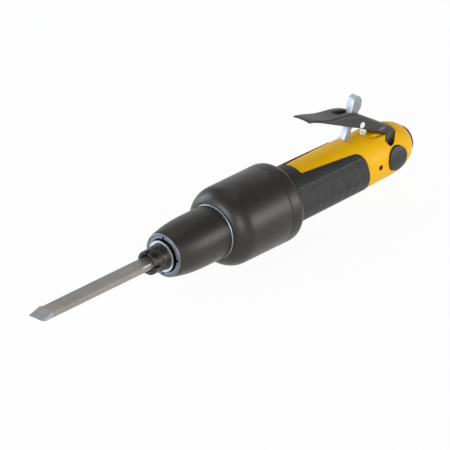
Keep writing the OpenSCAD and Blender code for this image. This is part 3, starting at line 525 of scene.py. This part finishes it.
def makeCollar():
    s = collarSize
    rows = [(s["back"], s["bore"], 0.3), (s["back"], s["radius"], s["round"])]
    rows += [(s["seam"] - d, s["radius"] - r) for d, r in collarEdge]
    rows += [(s["seam"], s["recess"]), (s["front"], s["recess"]), (s["front"], s["seat"]),
             (s["seatBack"], s["seat"]), (s["seatBack"], s["bore"])]
    collar = turn("rearCollar", rows, steps=160, segments=14)
    finishPiece(collar, "housing", "dark_housing", phosphate, "rear_collar")


makeNose()
makeNoseRing()
makeHousing()
makeCollar()
print("nose, housing and collar made")

washerSize = {"back": 244.5, "front": 247.1, "outer": 11.8, "bore": 9.56}


def makeWasher():
    s = washerSize
    rows = [(s["back"], s["bore"]), (s["back"], s["outer"], 0.2), (s["front"], s["outer"], 0.25),
            (s["front"], s["bore"], 0.3)]
    finishPiece(turn("frontWasher", rows), "unit", "turned_steel", washerFinish, "front_washer")


retainerSize = {"back": 240.3, "front": 261.8, "outer": 9.5, "outerFront": 253.6, "rim": 8.9, "rimBack": 254,
                "face": 8.1, "bore": 6.2, "boreBack": 250, "backBore": 7.2, "backBoreEnd": 249, "slot": 1.7,
                "slotDepth": 4.6, "slotCorner": 0.9, "slotReach": 12, "slots": 4}
retainerGroove = [(248.2, 9.5, 0.1), (248.5, 9.2), (248.9, 9.2), (249.2, 9.5, 0.1)]


def makeRetainer():
    s = retainerSize
    rows = [(s["back"], s["backBore"]), (s["back"], s["outer"], 0.6)] + retainerGroove
    rows += [(s["outerFront"], s["outer"], 0.3), (s["rimBack"], s["rim"], 0.2), (s["front"] - 1, s["rim"], 0.3),
             (s["front"], s["face"], 0.2), (s["front"], s["bore"], 0.3), (s["boreBack"], s["bore"]),
             (s["backBoreEnd"], s["backBore"])]
    sleeve = turn("retainerSleeve", rows)
    half, floor, past = s["slot"] / 2, s["front"] - s["slotDepth"], s["front"] + 2
    corner = half * s["slotCorner"]
    outline = [(past, -half), (floor, -half, corner), (floor, half, corner), (past, half)]
    # each cut makes two slots, one either side
    for turned in range(s["slots"] // 2):
        slot = plate("slotCut", outline, topView, -s["slotReach"], s["slotReach"])
        stand(slot, (0, 0, 0), (turned * fullTurn / s["slots"], 0, 0))
        carve(sleeve, slot)
    soften(sleeve, 0.15, 2)
    finishPiece(sleeve, "unit", "retainer_steel", retainerFinish, "retainer_sleeve")


chiselSize = {"half": 2.3, "back": 235.5, "tip": 372.4, "topBevel": 361.4, "underBevel": 369.2, "edge": -0.85,
              "edgeHalf": 0.12, "width": 5.6, "flare": 360.4, "tipWidth": 7.0, "nearCorner": 0.3, "blank": 12,
              "tall": 9}
shankRows = [(206, 0), (206, 6.35, 0.8), (223.7, 6.35, 0.3), (224.5, 8.8, 0.8), (229.5, 8.8, 0.8),
             (230.3, 6.35, 0.8), (238.6, 6.35, 2), (239.6, 2), (239.6, 0)]


def makeChisel():
    s = chiselSize
    half, width = s["half"], s["width"]
    outline = [(s["back"], -half), (s["underBevel"], -half), (s["tip"], s["edge"] - s["edgeHalf"]),
               (s["tip"], s["edge"] + s["edgeHalf"]), (s["topBevel"], half), (s["back"], half)]
    blade = plate("chisel", outline, sideView, -s["blank"], s["blank"])
    # seen from above the blade is parallel, and the forged edge stands out on the far side only
    behind, past = s["back"] - 2, s["tip"] + 1
    waist = [(behind, width), (s["flare"], width), (s["flare"] + 1, s["tipWidth"]), (past, s["tipWidth"]),
             (past, s["nearCorner"] - width), (s["underBevel"], -width), (behind, -width)]
    carve(blade, plate("waist", waist, topView, -s["tall"], s["tall"]), "INTERSECT")
    soften(blade, 0.16, 1, 40)
    joinPieces(blade, turn("shank", shankRows, closed=False, steps=64))
    finishPiece(blade, "tool", "chisel_steel", chiselFinish, "chisel", angle=12)


makeWasher()
makeRetainer()
makeChisel()
print("front end made")

gripSize = {"windowFront": 115.2, "frontHalf": 9.8, "rearHalf": 13.4, "rear": 56.6, "lean": 0.15,
            "waist": 19.7, "rearCorner": 5.6, "frontCorner": 1.4, "frontRadius": 21.1, "rearRadius": 20.3,
            "back": 50, "front": 129.5, "bore": 18.56, "skirt": 19.1, "skirtGap": 0.7, "gap": 0.75, "edge": 0.6,
            "cornerHeight": 15.2, "split": 5, "foot": -9.3}
# a straight ridge on each flank: degrees from the top, its own radius, and where its line runs
ridgeSize = {"angle": 53, "radius": 0.62, "line": ((63, 20.0), (126, 20.68))}
# the cutter's own ends, clear of the rubber
cutSize = {"half": 30, "back": 20, "top": 45, "low": -40, "side": 50, "overlap": 0.02}


def windowCut(name, grow=0.0):
    # all that is not rubber: the window on top and the part behind the leaning rear edge
    s, c = gripSize, cutSize
    corner, waist, foot, low = [s["rear"] + s["lean"] * height - grow
                                for height in (s["cornerHeight"], s["split"], s["foot"], c["low"])]
    half = [(s["windowFront"] - grow, s["frontHalf"] - grow, s["frontCorner"]),
            (corner, s["rearHalf"] - grow, s["rearCorner"]), (waist, s["waist"]), (foot, c["half"]),
            (c["back"], c["half"])]
    outline = half + [(row[0], -row[1], *row[2:]) for row in reversed(half)]
    window = plate(name, outline, topView, s["split"], c["top"], segments=10)
    over = s["split"] + c["overlap"]
    lean = [(low, c["low"]), (waist, s["split"]), (waist, over), (-c["back"], over), (-c["back"], c["low"])]
    carve(window, plate("leanCut", lean, sideView, -c["side"], c["side"]), "UNION")
    return window


def makeGrip():
    s = gripSize
    rows = [(s["back"], s["bore"]), (s["back"], s["rearRadius"]), (s["rear"], s["rearRadius"]),
            (s["front"] - s["edge"], s["frontRadius"]), (s["front"], s["frontRadius"] - s["edge"]),
            (s["front"], s["bore"])]
    grip = turn("rubberGrip", rows, steps=180)
    carve(grip, windowCut("gripWindow"))
    soften(grip, 0.45, 3, 50)
    for side in (-1, 1):
        angle = math.radians(ridgeSize["angle"]) * side
        ends = [at(d, r * math.sin(angle), r * math.cos(angle)) for d, r in ridgeSize["line"]]
        carve(grip, rod("ridge", ridgeSize["radius"], *ends, 16), "UNION")
    # painted shade: a thin skirt of dark rubber under the edge fills the joint with the casting, standing in
    # for its shade
    skirt = turn("skirt", [(s["back"], s["bore"]), (s["back"], s["skirt"]), (s["front"], s["skirt"]),
                           (s["front"], s["bore"])], steps=120)
    carve(skirt, windowCut("skirtWindow", s["skirtGap"]))
    joinPieces(grip, skirt)
    finishPiece(grip, "housing", "grip_rubber", rubber, "rubber_grip", angle=30)


handleSize = {"back": 3, "front": 129.5, "radius": 19.9, "bore": 7.36, "edge": 0.3, "pocketHalf": 9.4,
              "neckHalf": 6.2, "pocketBack": 17.4, "pocketFloor": 4.4, "pocketFront": 29.2, "legGap": 1.6,
              "flangeGap": 0.4, "neckTop": 19.9, "seatBack": 45, "seatFront": 131, "seatRadius": 18.5,
              "outside": 25, "above": 40}
handleDome = [(3, 10.7), (3.3, 11.2), (4, 12.05), (5, 13.0), (6.3, 14.0), (8, 15.0), (9.6, 15.75),
              (11.2, 16.35), (12.9, 16.9), (14.4, 17.36), (14.9, 17.5), (15.4, 17.2), (15.9, 17.62),
              (17.4, 18.1), (19.6, 18.6), (22, 18.95), (28, 19.2), (36, 19.45), (47, 19.7), (61, 19.88)]
neckRows = [(15, 0), (15, 12.4), (16, 12.4), (20.2, 12.9), (38.5, 19.4)]  # what stands between the lever's legs
pivot = (22.9, 9.3)  # the lever's pin: station and height
valveStation = 41.5
pressAngle = 10  # degrees
leverLow = [(29, 15.7), (31, 16.9), (38.5, 21.4)]  # low points of the lever's flanges, ahead of its legs


def pressedPoint(d, z):
    # where a point of the lever's side outline is when the lever is fully pressed
    turned = math.radians(pressAngle)
    along, up = d - pivot[0], z - pivot[1]
    return (pivot[0] + along * math.cos(turned) + up * math.sin(turned),
            pivot[1] - along * math.sin(turned) + up * math.cos(turned))


def makePocket():
    # room for the lever's legs and flanges either side of the neck, down to where they go when pressed
    s = handleSize
    low = [pressedPoint(*point) for point in leverLow]
    front = low[-1][0]
    rows = [(s["pocketBack"], s["above"]), (s["pocketBack"], s["pocketFloor"], 1.2),
            (s["pocketFront"], s["pocketFloor"], 1.2), (s["pocketFront"], low[0][1] - s["legGap"], 0.8)]
    rows += [(d, z - s["flangeGap"]) for d, z in low] + [(front, s["above"])]
    pocket = plate("pocket", rows, sideView, -s["pocketHalf"], s["pocketHalf"])
    neck = [(front + 2, 0)] + neckRows + [(front + 2, s["neckTop"])]
    carve(pocket, plate("neck", neck, sideView, -s["neckHalf"], s["neckHalf"]))
    return pocket


# the opening beside a leg is cored from in front and above, so that the leg shows down to its foot
windowSize = {"turn": 47.1, "lift": 27, "d": 23, "y": 9, "z": 9, "ahead": 15, "behind": -30, "inner": 7.2,
              "outer": 29.4}
# its outline, seen along the core: to the rear, upwards, corner
windowRows = [(-3.9, 14.8), (-3.9, 0.2, 0.8), (-2.1, -1.7), (-0.1, -3.5, 0.6), (1.2, -2.9, 0.8),
              (2.2, -1.5, 1.5), (2.9, 2.4, 4), (3.3, 7.2), (3.3, 14.8)]
windowBlock = [(5, -25), (5, 45), (60, 45), (60, -25)]  # keeps the core to its own side of the handle


def makeLegWindow(side):
    s = windowSize
    turned, lift = math.radians(s["turn"]), math.radians(s["lift"])
    right = Vector((math.cos(turned), side * math.sin(turned), 0))
    up = Vector((math.sin(lift) * math.sin(turned), -side * math.sin(lift) * math.cos(turned), math.cos(lift)))
    rows = [(-row[0], *row[1:]) for row in windowRows]
    window = plate("legWindow", rows, topView, *sorted((side * s["ahead"], side * s["behind"])))
    tilt = Matrix((right, up, right.cross(up))).transposed().to_euler()
    stand(window, at(s["d"], side * s["y"], s["z"]), tilt)
    levels = sorted((side * s["inner"], side * s["outer"]))
    carve(window, plate("windowBlock", windowBlock, sideView, *levels), "INTERSECT")
    return window


# the handle's bores: radius, start, end, and steps round it
handleBores = {"bushingBore": (6.05, (valveStation, 0, -25), (valveStation, 0, 17.4), 64),
               "bushingTop": (4.9, (valveStation, 0, 16), (valveStation, 0, 18.65), 64),
               "stemHole": (2.75, (valveStation, 0, 0), (valveStation, 0, 25), 48),
               "screwHole": (1.9, (44.4, -5, 0), (44.4, -25, 0), 48),
               "pinBore": (2.05, (pivot[0], -9, pivot[1]), (pivot[0], 9, pivot[1]), 48)}
coverSize = {"radius": 8.95, "seat": 9.3, "seatFloor": 13, "d": 26.8, "z": 0.7, "floor": 13.05, "edge": 0.9}
coverRows = [(4, 0), (4, 12), (8, 16.4), (12, 18.5), (15.5, 19.6), (19.6, 20.4), (24, 20.8), (30, 20.75),
             (45, 20.1), (45, 0)]


def coverDisc(name, radius, side, floor):
    # a round bar across the tool at the side cover's place, from its floor to outside the handle
    return rod(name, radius, at(coverSize["d"], side * floor, coverSize["z"]),
               at(coverSize["d"], side * handleSize["outside"], coverSize["z"]), 96)


def makeHandle():
    s = handleSize
    rows = [(s["back"], s["bore"])] + handleDome
    rows += [(s["front"] - s["edge"], s["radius"]), (s["front"], s["radius"] - s["edge"]),
             (s["front"], s["bore"])]
    body = turn("handleBody", rows, steps=160)
    # the casting is cut back where the rubber lies
    seat = turn("rubberSeat", [(s["seatBack"], s["seatRadius"]), (s["seatBack"], s["outside"]),
                               (s["seatFront"], s["outside"]), (s["seatFront"], s["seatRadius"])], steps=160)
    carve(seat, windowCut("seatWindow", gripSize["gap"]))
    carve(body, seat)
    carve(body, makePocket())
    for side in (-1, 1):
        carve(body, makeLegWindow(side))
        carve(body, coverDisc("coverSeat", coverSize["seat"], side, coverSize["seatFloor"]))
    for name, (radius, start, end, steps) in handleBores.items():
        carve(body, rod(name, radius, at(*start), at(*end), steps))
    soften(body, 0.3, 2, 35)
    finishPiece(body, "housing", "yellow_body", enamel, "handle_body", angle=35)


def makeSideCover(name, side, node):
    # a disc cut out of a turned skin, so that it bulges as the handle does
    skin = turn(name, coverRows, closed=False, steps=128)
    carve(skin, coverDisc("coverDisc", coverSize["radius"], side, coverSize["floor"]), "INTERSECT")
    soften(skin, coverSize["edge"], 4, 40)
    finishPiece(skin, "housing", "black_plastic", nylon, node, angle=50)


endRingSize = {"back": 0.9, "front": 3.1, "bore": 9.95, "rim": 10.2, "shoulder": 2.2, "radius": 10.6}


def makeEndRing():
    s = endRingSize
    rows = [(s["back"], s["bore"]), (s["back"], s["rim"]), (s["shoulder"], s["radius"], 0.4),
            (s["front"], s["radius"]), (s["front"], s["bore"])]
    finishPiece(turn("endRing", rows), "housing", "black_plastic", nylon, "end_ring")


inletSize = {"hexagon": 9.8, "head": 2.8, "barrel": 7.25, "end": 15.3, "pitch": 1.34, "turns": 7, "shell": 0.1}
inletBore = [(-1, 0), (-1, 7.4), (1.1, 5.75), (12, 5.75), (12, 4.3), (17, 4.3), (17, 0)]
inletRidge = [(0.9, 5.9), (1.1, 5.74), (1.3, 5.74), (1.8, 6.35), (2.24, 5.9)]


def makeInlet():
    # hexagon head on a barrel, with a threaded bore
    s = inletSize
    hexagon = startPiece("inletBushing", bpy.ops.mesh.primitive_cylinder_add, vertices=6,
                         radius=s["hexagon"] * mm, depth=s["head"] * mm, location=at(s["head"] / 2),
                         rotation=(0, math.pi / 2, 0))
    bpy.ops.object.mode_set(mode="OBJECT")
    barrel = [(0, 0), (0, s["barrel"]), (s["end"], s["barrel"], 0.6), (s["end"], 0)]
    carve(hexagon, turn("barrel", barrel, closed=False), "UNION")
    carve(hexagon, turn("boreCut", inletBore, closed=False))
    soften(hexagon, 0.25, 2, 30)
    thread = drawLine("inletThread", [sideView(*row) for row in inletRidge])
    modify(thread, "SCREW", axis="X", angle=fullTurn, screw_offset=-s["pitch"] * mm, iterations=s["turns"],
           steps=48, render_steps=48, use_merge_vertices=True)
    modify(thread, "SOLIDIFY", thickness=s["shell"] * mm)
    joinPieces(hexagon, thread)
    finishPiece(hexagon, "housing", "turned_steel", machined, "inlet_bushing")


makeGrip()
makeHandle()
makeSideCover("sideCoverNear", -1, "side_cover_near")
makeSideCover("sideCoverFar", 1, "side_cover_far")
makeEndRing()
makeInlet()
print("handle made")

leverSize = {"half": 9, "sheet": 1.3, "fold": 1.3, "flat": 0.06, "arch": 0.8, "archFrom": 80, "narrowFrom": 88,
             "narrow": 1.0, "tip": 104.8, "slotFoot": 27.2, "slotTop": 59.2, "eye": 4.4, "eyeInner": 6.62,
             "eyeOuter": 8.98}
# station, crest and foot of the flange, from the rear end over the hump to the lifted lip
leverRows = [(18.2, 15.6, 8.5), (18.9, 17.4, 7.2), (20.4, 19.1, 5.9), (22.9, 21, 5.4), (27.0, 23.5, 7.5),
             (28.2, 24.3, 16.0), (31, 26, 17.6), (37.5, 30.1, 21.4), (42, 33.2, 23.9), (46.7, 36.5, 26.4),
             (51, 39.3, 28.7), (55, 41.3, 30.7), (59, 42.9, 32.5), (63.5, 44.2, 34.6), (68.5, 45.2, 37),
             (73.5, 45.9, 39.4), (79, 46.7, 42), (84, 47.9, 44.4), (89, 49.5, 46.8), (94, 51.3, 49.1),
             (99.5, 53, 51.4), (103.4, 54, 52.8), (104.8, 54.2, 53.1)]
leverSlot = [(41, -3.5, 1), (41, 3.5, 1), (72, 3.5, 2.6), (72, -3.5, 2.6)]  # station, across, corner


def leverRing(d, crest, foot):
    # the pressed section at a station, from one flange's foot over the top to the other's: a crown that
    # falls by parts of the arch, then a fold down into the flange
    s = leverSize
    forward = max(0, (d - s["archFrom"]) / (s["tip"] - s["archFrom"])) ** 1.5
    half = s["half"] - s["narrow"] * max(0, (d - s["narrowFrom"]) / (s["tip"] - s["narrowFrom"])) ** 2
    arch = s["flat"] + s["arch"] * forward
    shoulder = crest - arch
    fold = min(s["fold"], shoulder - foot - 0.2)
    right = [(0, crest), (half * 0.45, crest - 0.2 * arch), (half - 1.4 * s["fold"], crest - 0.62 * arch),
             (half - 0.35 * s["fold"], shoulder - 0.3 * fold), (half, shoulder - fold),
             (half, (shoulder - fold + foot) / 2), (half, foot)]
    return [at(d, -y, z) for y, z in reversed(right[1:])] + [at(d, y, z) for y, z in right]


def growStrip(name, rings):
    # an edge loop extruded from ring to ring, each point then moved to its place
    piece = drawLine(name, rings[0])
    for before, after in zip(rings, rings[1:]):
        pickPoints(piece, *before)
        shift = after[0] - before[0]
        bpy.ops.mesh.extrude_region_move(TRANSFORM_OT_translate={"value": shift})
        for old, new in zip(before, after):
            rest = new - (old + shift)
            if rest.length > 0.05 * touching:
                pickPoints(piece, old + shift)
                bpy.ops.transform.translate(value=rest)
    return piece


def makeLever():
    s = leverSize
    lever = growStrip("throttleLever", [leverRing(*row) for row in leverRows])
    bpy.ops.mesh.select_all(action="SELECT")
    bpy.ops.mesh.normals_make_consistent(inside=False)
    top = max(bmesh.from_edit_mesh(lever.data).faces, key=lambda face: face.calc_center_median().z)
    if top.normal.z < 0:
        bpy.ops.mesh.flip_normals()
    bpy.ops.object.mode_set(mode="OBJECT")
    modify(lever, "SOLIDIFY", thickness=s["sheet"] * mm, offset=-1, use_even_offset=True)
    modify(lever, "SUBSURF", levels=2, render_levels=2)
    carve(lever, plate("slot", leverSlot, topView, s["slotFoot"], s["slotTop"]))
    for side in (-1, 1):
        eye = rod("eye", s["eye"], at(pivot[0], side * s["eyeInner"], pivot[1]),
                  at(pivot[0], side * s["eyeOuter"], pivot[1]), 64)
        soften(eye, 0.35, 2)
        joinPieces(lever, eye)
    finishPiece(lever, "lever", "lever_coat", coat, "throttle_lever", angle=40)


lockSize = {"d": 52.3, "z": 32.6, "half": 3, "bore": 1.55, "past": 9}
# from its pin: forwards, upwards, corner
lockRows = [(4.2, 9.2, 3), (1.6, 17.4, 1), (-0.7, 19.6, 2), (-3.9, 19.1, 1.5), (-6.2, 16, 1.5),
            (-6.3, 13.6, 1.5), (-5.4, 9.8, 1), (-2, 6.7, 1), (-3.0, 2, 1), (-3.0, -2, 1), (4.6, -3.6, 1),
            (5.2, -8.4, 1), (6.4, -10.6, 0.6), (9.2, -12.2, 1.0), (11.2, -11.2, 0.8), (12, -9, 1),
            (8.4, -2.4, 2), (3.9, 2, 1)]


def makeLock():
    s = lockSize
    outline = [(s["d"] + d, s["z"] + z, r) for d, z, r in lockRows]
    lock = plate("safetyLock", outline, sideView, -s["half"], s["half"])
    carve(lock, rod("lockBore", s["bore"], at(s["d"], -s["past"], s["z"]), at(s["d"], s["past"], s["z"])))
    soften(lock, 0.4, 3, 50)
    finishPiece(lock, "lock", "zinc", zinc, "safety_lock", angle=35)


def makeCrossPin(name, body, slot, finish, node, half, place):
    # half a profile, mirrored, turned about the axis and stood across the tool
    rows = half + [(-row[0], *row[1:]) for row in reversed(half)]
    pin = turn(name, rows, closed=False, steps=48)
    stand(pin, place, (0, 0, math.pi / 2))
    finishPiece(pin, body, slot, finish, node)


# half profiles from the outer end inwards, and the stem's whole one from its top down
lockPinHalf = [(9.4, 0), (9.35, 0.8), (9.65, 1.1), (9.65, 2.3, 0.35), (9.05, 2.3), (9.05, 1.5)]
leverPinHalf = [(8.2, 0), (8.2, 1.0), (9.15, 1.3), (9.2, 1.95, 0.2)]
stemRows = [(-23.6, 0), (-23.6, 2.4, 0.9), (-20.6, 2.5, 0.2), (-20.2, 2.2), (-19.7, 2.2), (-19.3, 2.5, 0.2),
            (-5.6, 2.5, 0.3), (-5.6, 1.5), (5, 1.5), (5, 4.2, 0.3), (8, 4.2, 0.3), (8, 0)]


def makeValveStem():
    # profile turned along the axis, then stood up at the valve's place
    stem = turn("valveStem", stemRows, closed=False, steps=64)
    stand(stem, at(valveStation), (0, -math.pi / 2, 0))
    finishPiece(stem, "valve", "zinc", stemFinish, "valve_stem")


makeLever()
makeLock()
makeCrossPin("lockPin", "lever", "zinc", stemFinish, "lock_pin", lockPinHalf,
             at(lockSize["d"], 0, lockSize["z"]))
makeCrossPin("leverPin", "housing", "dark_screw", blackPin, "lever_pin", leverPinHalf,
             at(pivot[0], 0, pivot[1]))
makeValveStem()
print("lever, lock and stem made")

nodeFinishes = [
    (seal, "nose_wiper housing_oring chamber_oring bushing_oring head_seal cap_seal retainer_buffer"),
    (bronze, "nose_bushing rear_guide_ring"),
    (wire, "front_spring rear_spring valve_spring lock_spring"),
    (sintered, "silencer_sleeve inlet_strainer"),
    (machined, "spacer_sleeve chamber_plug air_tube valve_plug tool_bushing percussion_cylinder port_plate "
               "valve_cage cylinder_cap disc_valve piston"),
    (brass, "valve_bushing valve_seat"),
    (holeShade, "set_screw"),
    (acetal, "lever_pad"),
    # these are replaced by the modelled pieces
    (phosphate, "nose_sleeve cylinder_housing rear_collar"),
    (ringFinish, "nose_ring"),
    (washerFinish, "front_washer"),
    (retainerFinish, "retainer_sleeve"),
    (chiselFinish, "chisel"),
    (enamel, "handle_body"),
    (rubber, "rubber_grip"),
    (nylon, "side_cover_near side_cover_far end_ring"),
    (machined, "inlet_bushing"),
    (coat, "throttle_lever"),
    (zinc, "safety_lock"),
    (blackPin, "lever_pin"),
    (stemFinish, "valve_stem lock_pin"),
]
for finish, names in nodeFinishes:
    for name in names.split():
        nodes[name].data.materials.clear()
        nodes[name].data.materials.append(finish)
print("packed nodes dressed")

floorSize = {"side": 12, "level": -0.0292, "cuts": 3, "paint": "#f4f4f4", "glow": 0.95}  # in metres


def makeFloor():
    s = floorSize
    floor = startPiece("studioFloor", bpy.ops.mesh.primitive_plane_add, size=s["side"],
                       location=(0, 0, s["level"]))
    bpy.ops.mesh.subdivide(number_cuts=s["cuts"])
    bpy.ops.object.mode_set(mode="OBJECT")
    finish = bpy.data.materials.new("white studio paint")
    finish.use_nodes = True
    tree = finish.node_tree
    tree.nodes.clear()
    # white to the camera and in reflections, and it still holds a soft shadow
    paint = addNode(tree, "BsdfDiffuse", {"Color": linearColour(s["paint"])})
    glow = addNode(tree, "Emission", {"Color": (1, 1, 1, 1), "Strength": 1.0})
    path = addNode(tree, "LightPath")
    seen = addNode(tree, "Math", {0: path.outputs["Is Camera Ray"], 1: path.outputs["Is Glossy Ray"]},
                   operation="MAXIMUM")
    seen = addNode(tree, "Math", {0: seen.outputs[0], 1: path.outputs["Is Transmission Ray"]},
                   operation="MAXIMUM")
    share = addNode(tree, "Math", {0: seen.outputs[0], 1: s["glow"]}, operation="MULTIPLY")
    mixed = addNode(tree, "MixShader", {0: share.outputs[0], 1: paint.outputs[0], 2: glow.outputs[0]})
    addNode(tree, "OutputMaterial", {"Surface": mixed.outputs[0]})
    floor.data.materials.append(finish)


worldLook = {"sides": 0.62, "above": 0.1, "from": 0.3, "to": 0.9, "colour": (0.94, 0.96, 1.0, 1)}


def makeWorld():
    world = bpy.data.worlds.new("studio")
    bpy.context.scene.world = world
    world.use_nodes = True
    tree = world.node_tree
    tree.nodes.clear()
    # the room is paler round the sides than overhead
    ray = addNode(tree, "SeparateXYZ", {0: addNode(tree, "TexCoord").outputs["Generated"]})
    look = worldLook
    strength = addNode(tree, "MapRange", {"Value": ray.outputs["Z"], "From Min": look["from"],
                                          "From Max": look["to"], "To Min": look["sides"],
                                          "To Max": look["above"]})
    room = addNode(tree, "Background", {"Color": look["colour"], "Strength": strength.outputs["Result"]})
    addNode(tree, "OutputWorld", {"Surface": room.outputs[0]})


# name: place, size in metres, power in watts, colour
lamps = {"keySoftbox": ((-1.35, -1.5, 0.6), 1.1, 17.5, (1, 1, 1)),
         "topSoftbox": ((0.2, 0.3, 1.7), 1.2, 3, (1, 1, 1)),
         "sideSoftbox": ((0.9, -1.3, 0.25), 0.8, 10, (1, 1, 1)),
         "farSoftbox": ((-0.6, 1.5, 0.4), 0.9, 12, (0.78, 0.88, 1)),
         "frontSoftbox": ((-2.1, 0.4, 0.4), 0.9, 24, (0.85, 0.93, 1)),
         "rearSoftbox": ((1.3, 1.3, 0.95), 1.6, 3, (1, 1, 1))}
lampAim = 170  # station


def makeLamps():
    aim = at(lampAim)
    for name, (place, size, power, colour) in lamps.items():
        light = bpy.data.lights.new(name, "AREA")
        light.size = size
        light.energy = power
        light.color = colour
        lamp = bpy.data.objects.new(name, light)
        lamp.location = place
        lamp.rotation_euler = (aim - Vector(place)).to_track_quat("-Z", "Y").to_euler()
        bpy.context.scene.collection.objects.link(lamp)


# the photo's view: a long lens from far off; aim is a station, and the shift counts pixels of this size
viewSize = {"azimuth": -47.1, "elevation": 27, "lens": 1600, "sensor": 36, "distance": 13.825,
            "pixel": 0.0006913, "aim": 165.5, "shift": (-16.7, -7.9)}


def makeCamera():
    s = viewSize
    azimuth, elevation = math.radians(s["azimuth"]), math.radians(s["elevation"])
    back = Vector((math.sin(azimuth) * math.cos(elevation), -math.cos(azimuth) * math.cos(elevation),
                   math.sin(elevation)))
    right = Vector((math.cos(azimuth), math.sin(azimuth), 0))
    up = back.cross(right)
    target = at(s["aim"]) + (s["shift"][0] * right + s["shift"][1] * up) * s["pixel"]
    lens = bpy.data.cameras.new("photoCamera")
    lens.type = "PERSP"
    lens.lens = s["lens"]
    lens.sensor_width = s["sensor"]
    camera = bpy.data.objects.new("photoCamera", lens)
    turned = Matrix((right, up, back)).transposed().to_4x4()
    camera.matrix_world = Matrix.Translation(target + back * s["distance"]) @ turned
    bpy.context.scene.collection.objects.link(camera)
    bpy.context.scene.camera = camera


makeFloor()
makeWorld()
makeLamps()
makeCamera()
bpy.context.scene.view_settings.view_transform = "Standard"
print("studio made")

activate(None)
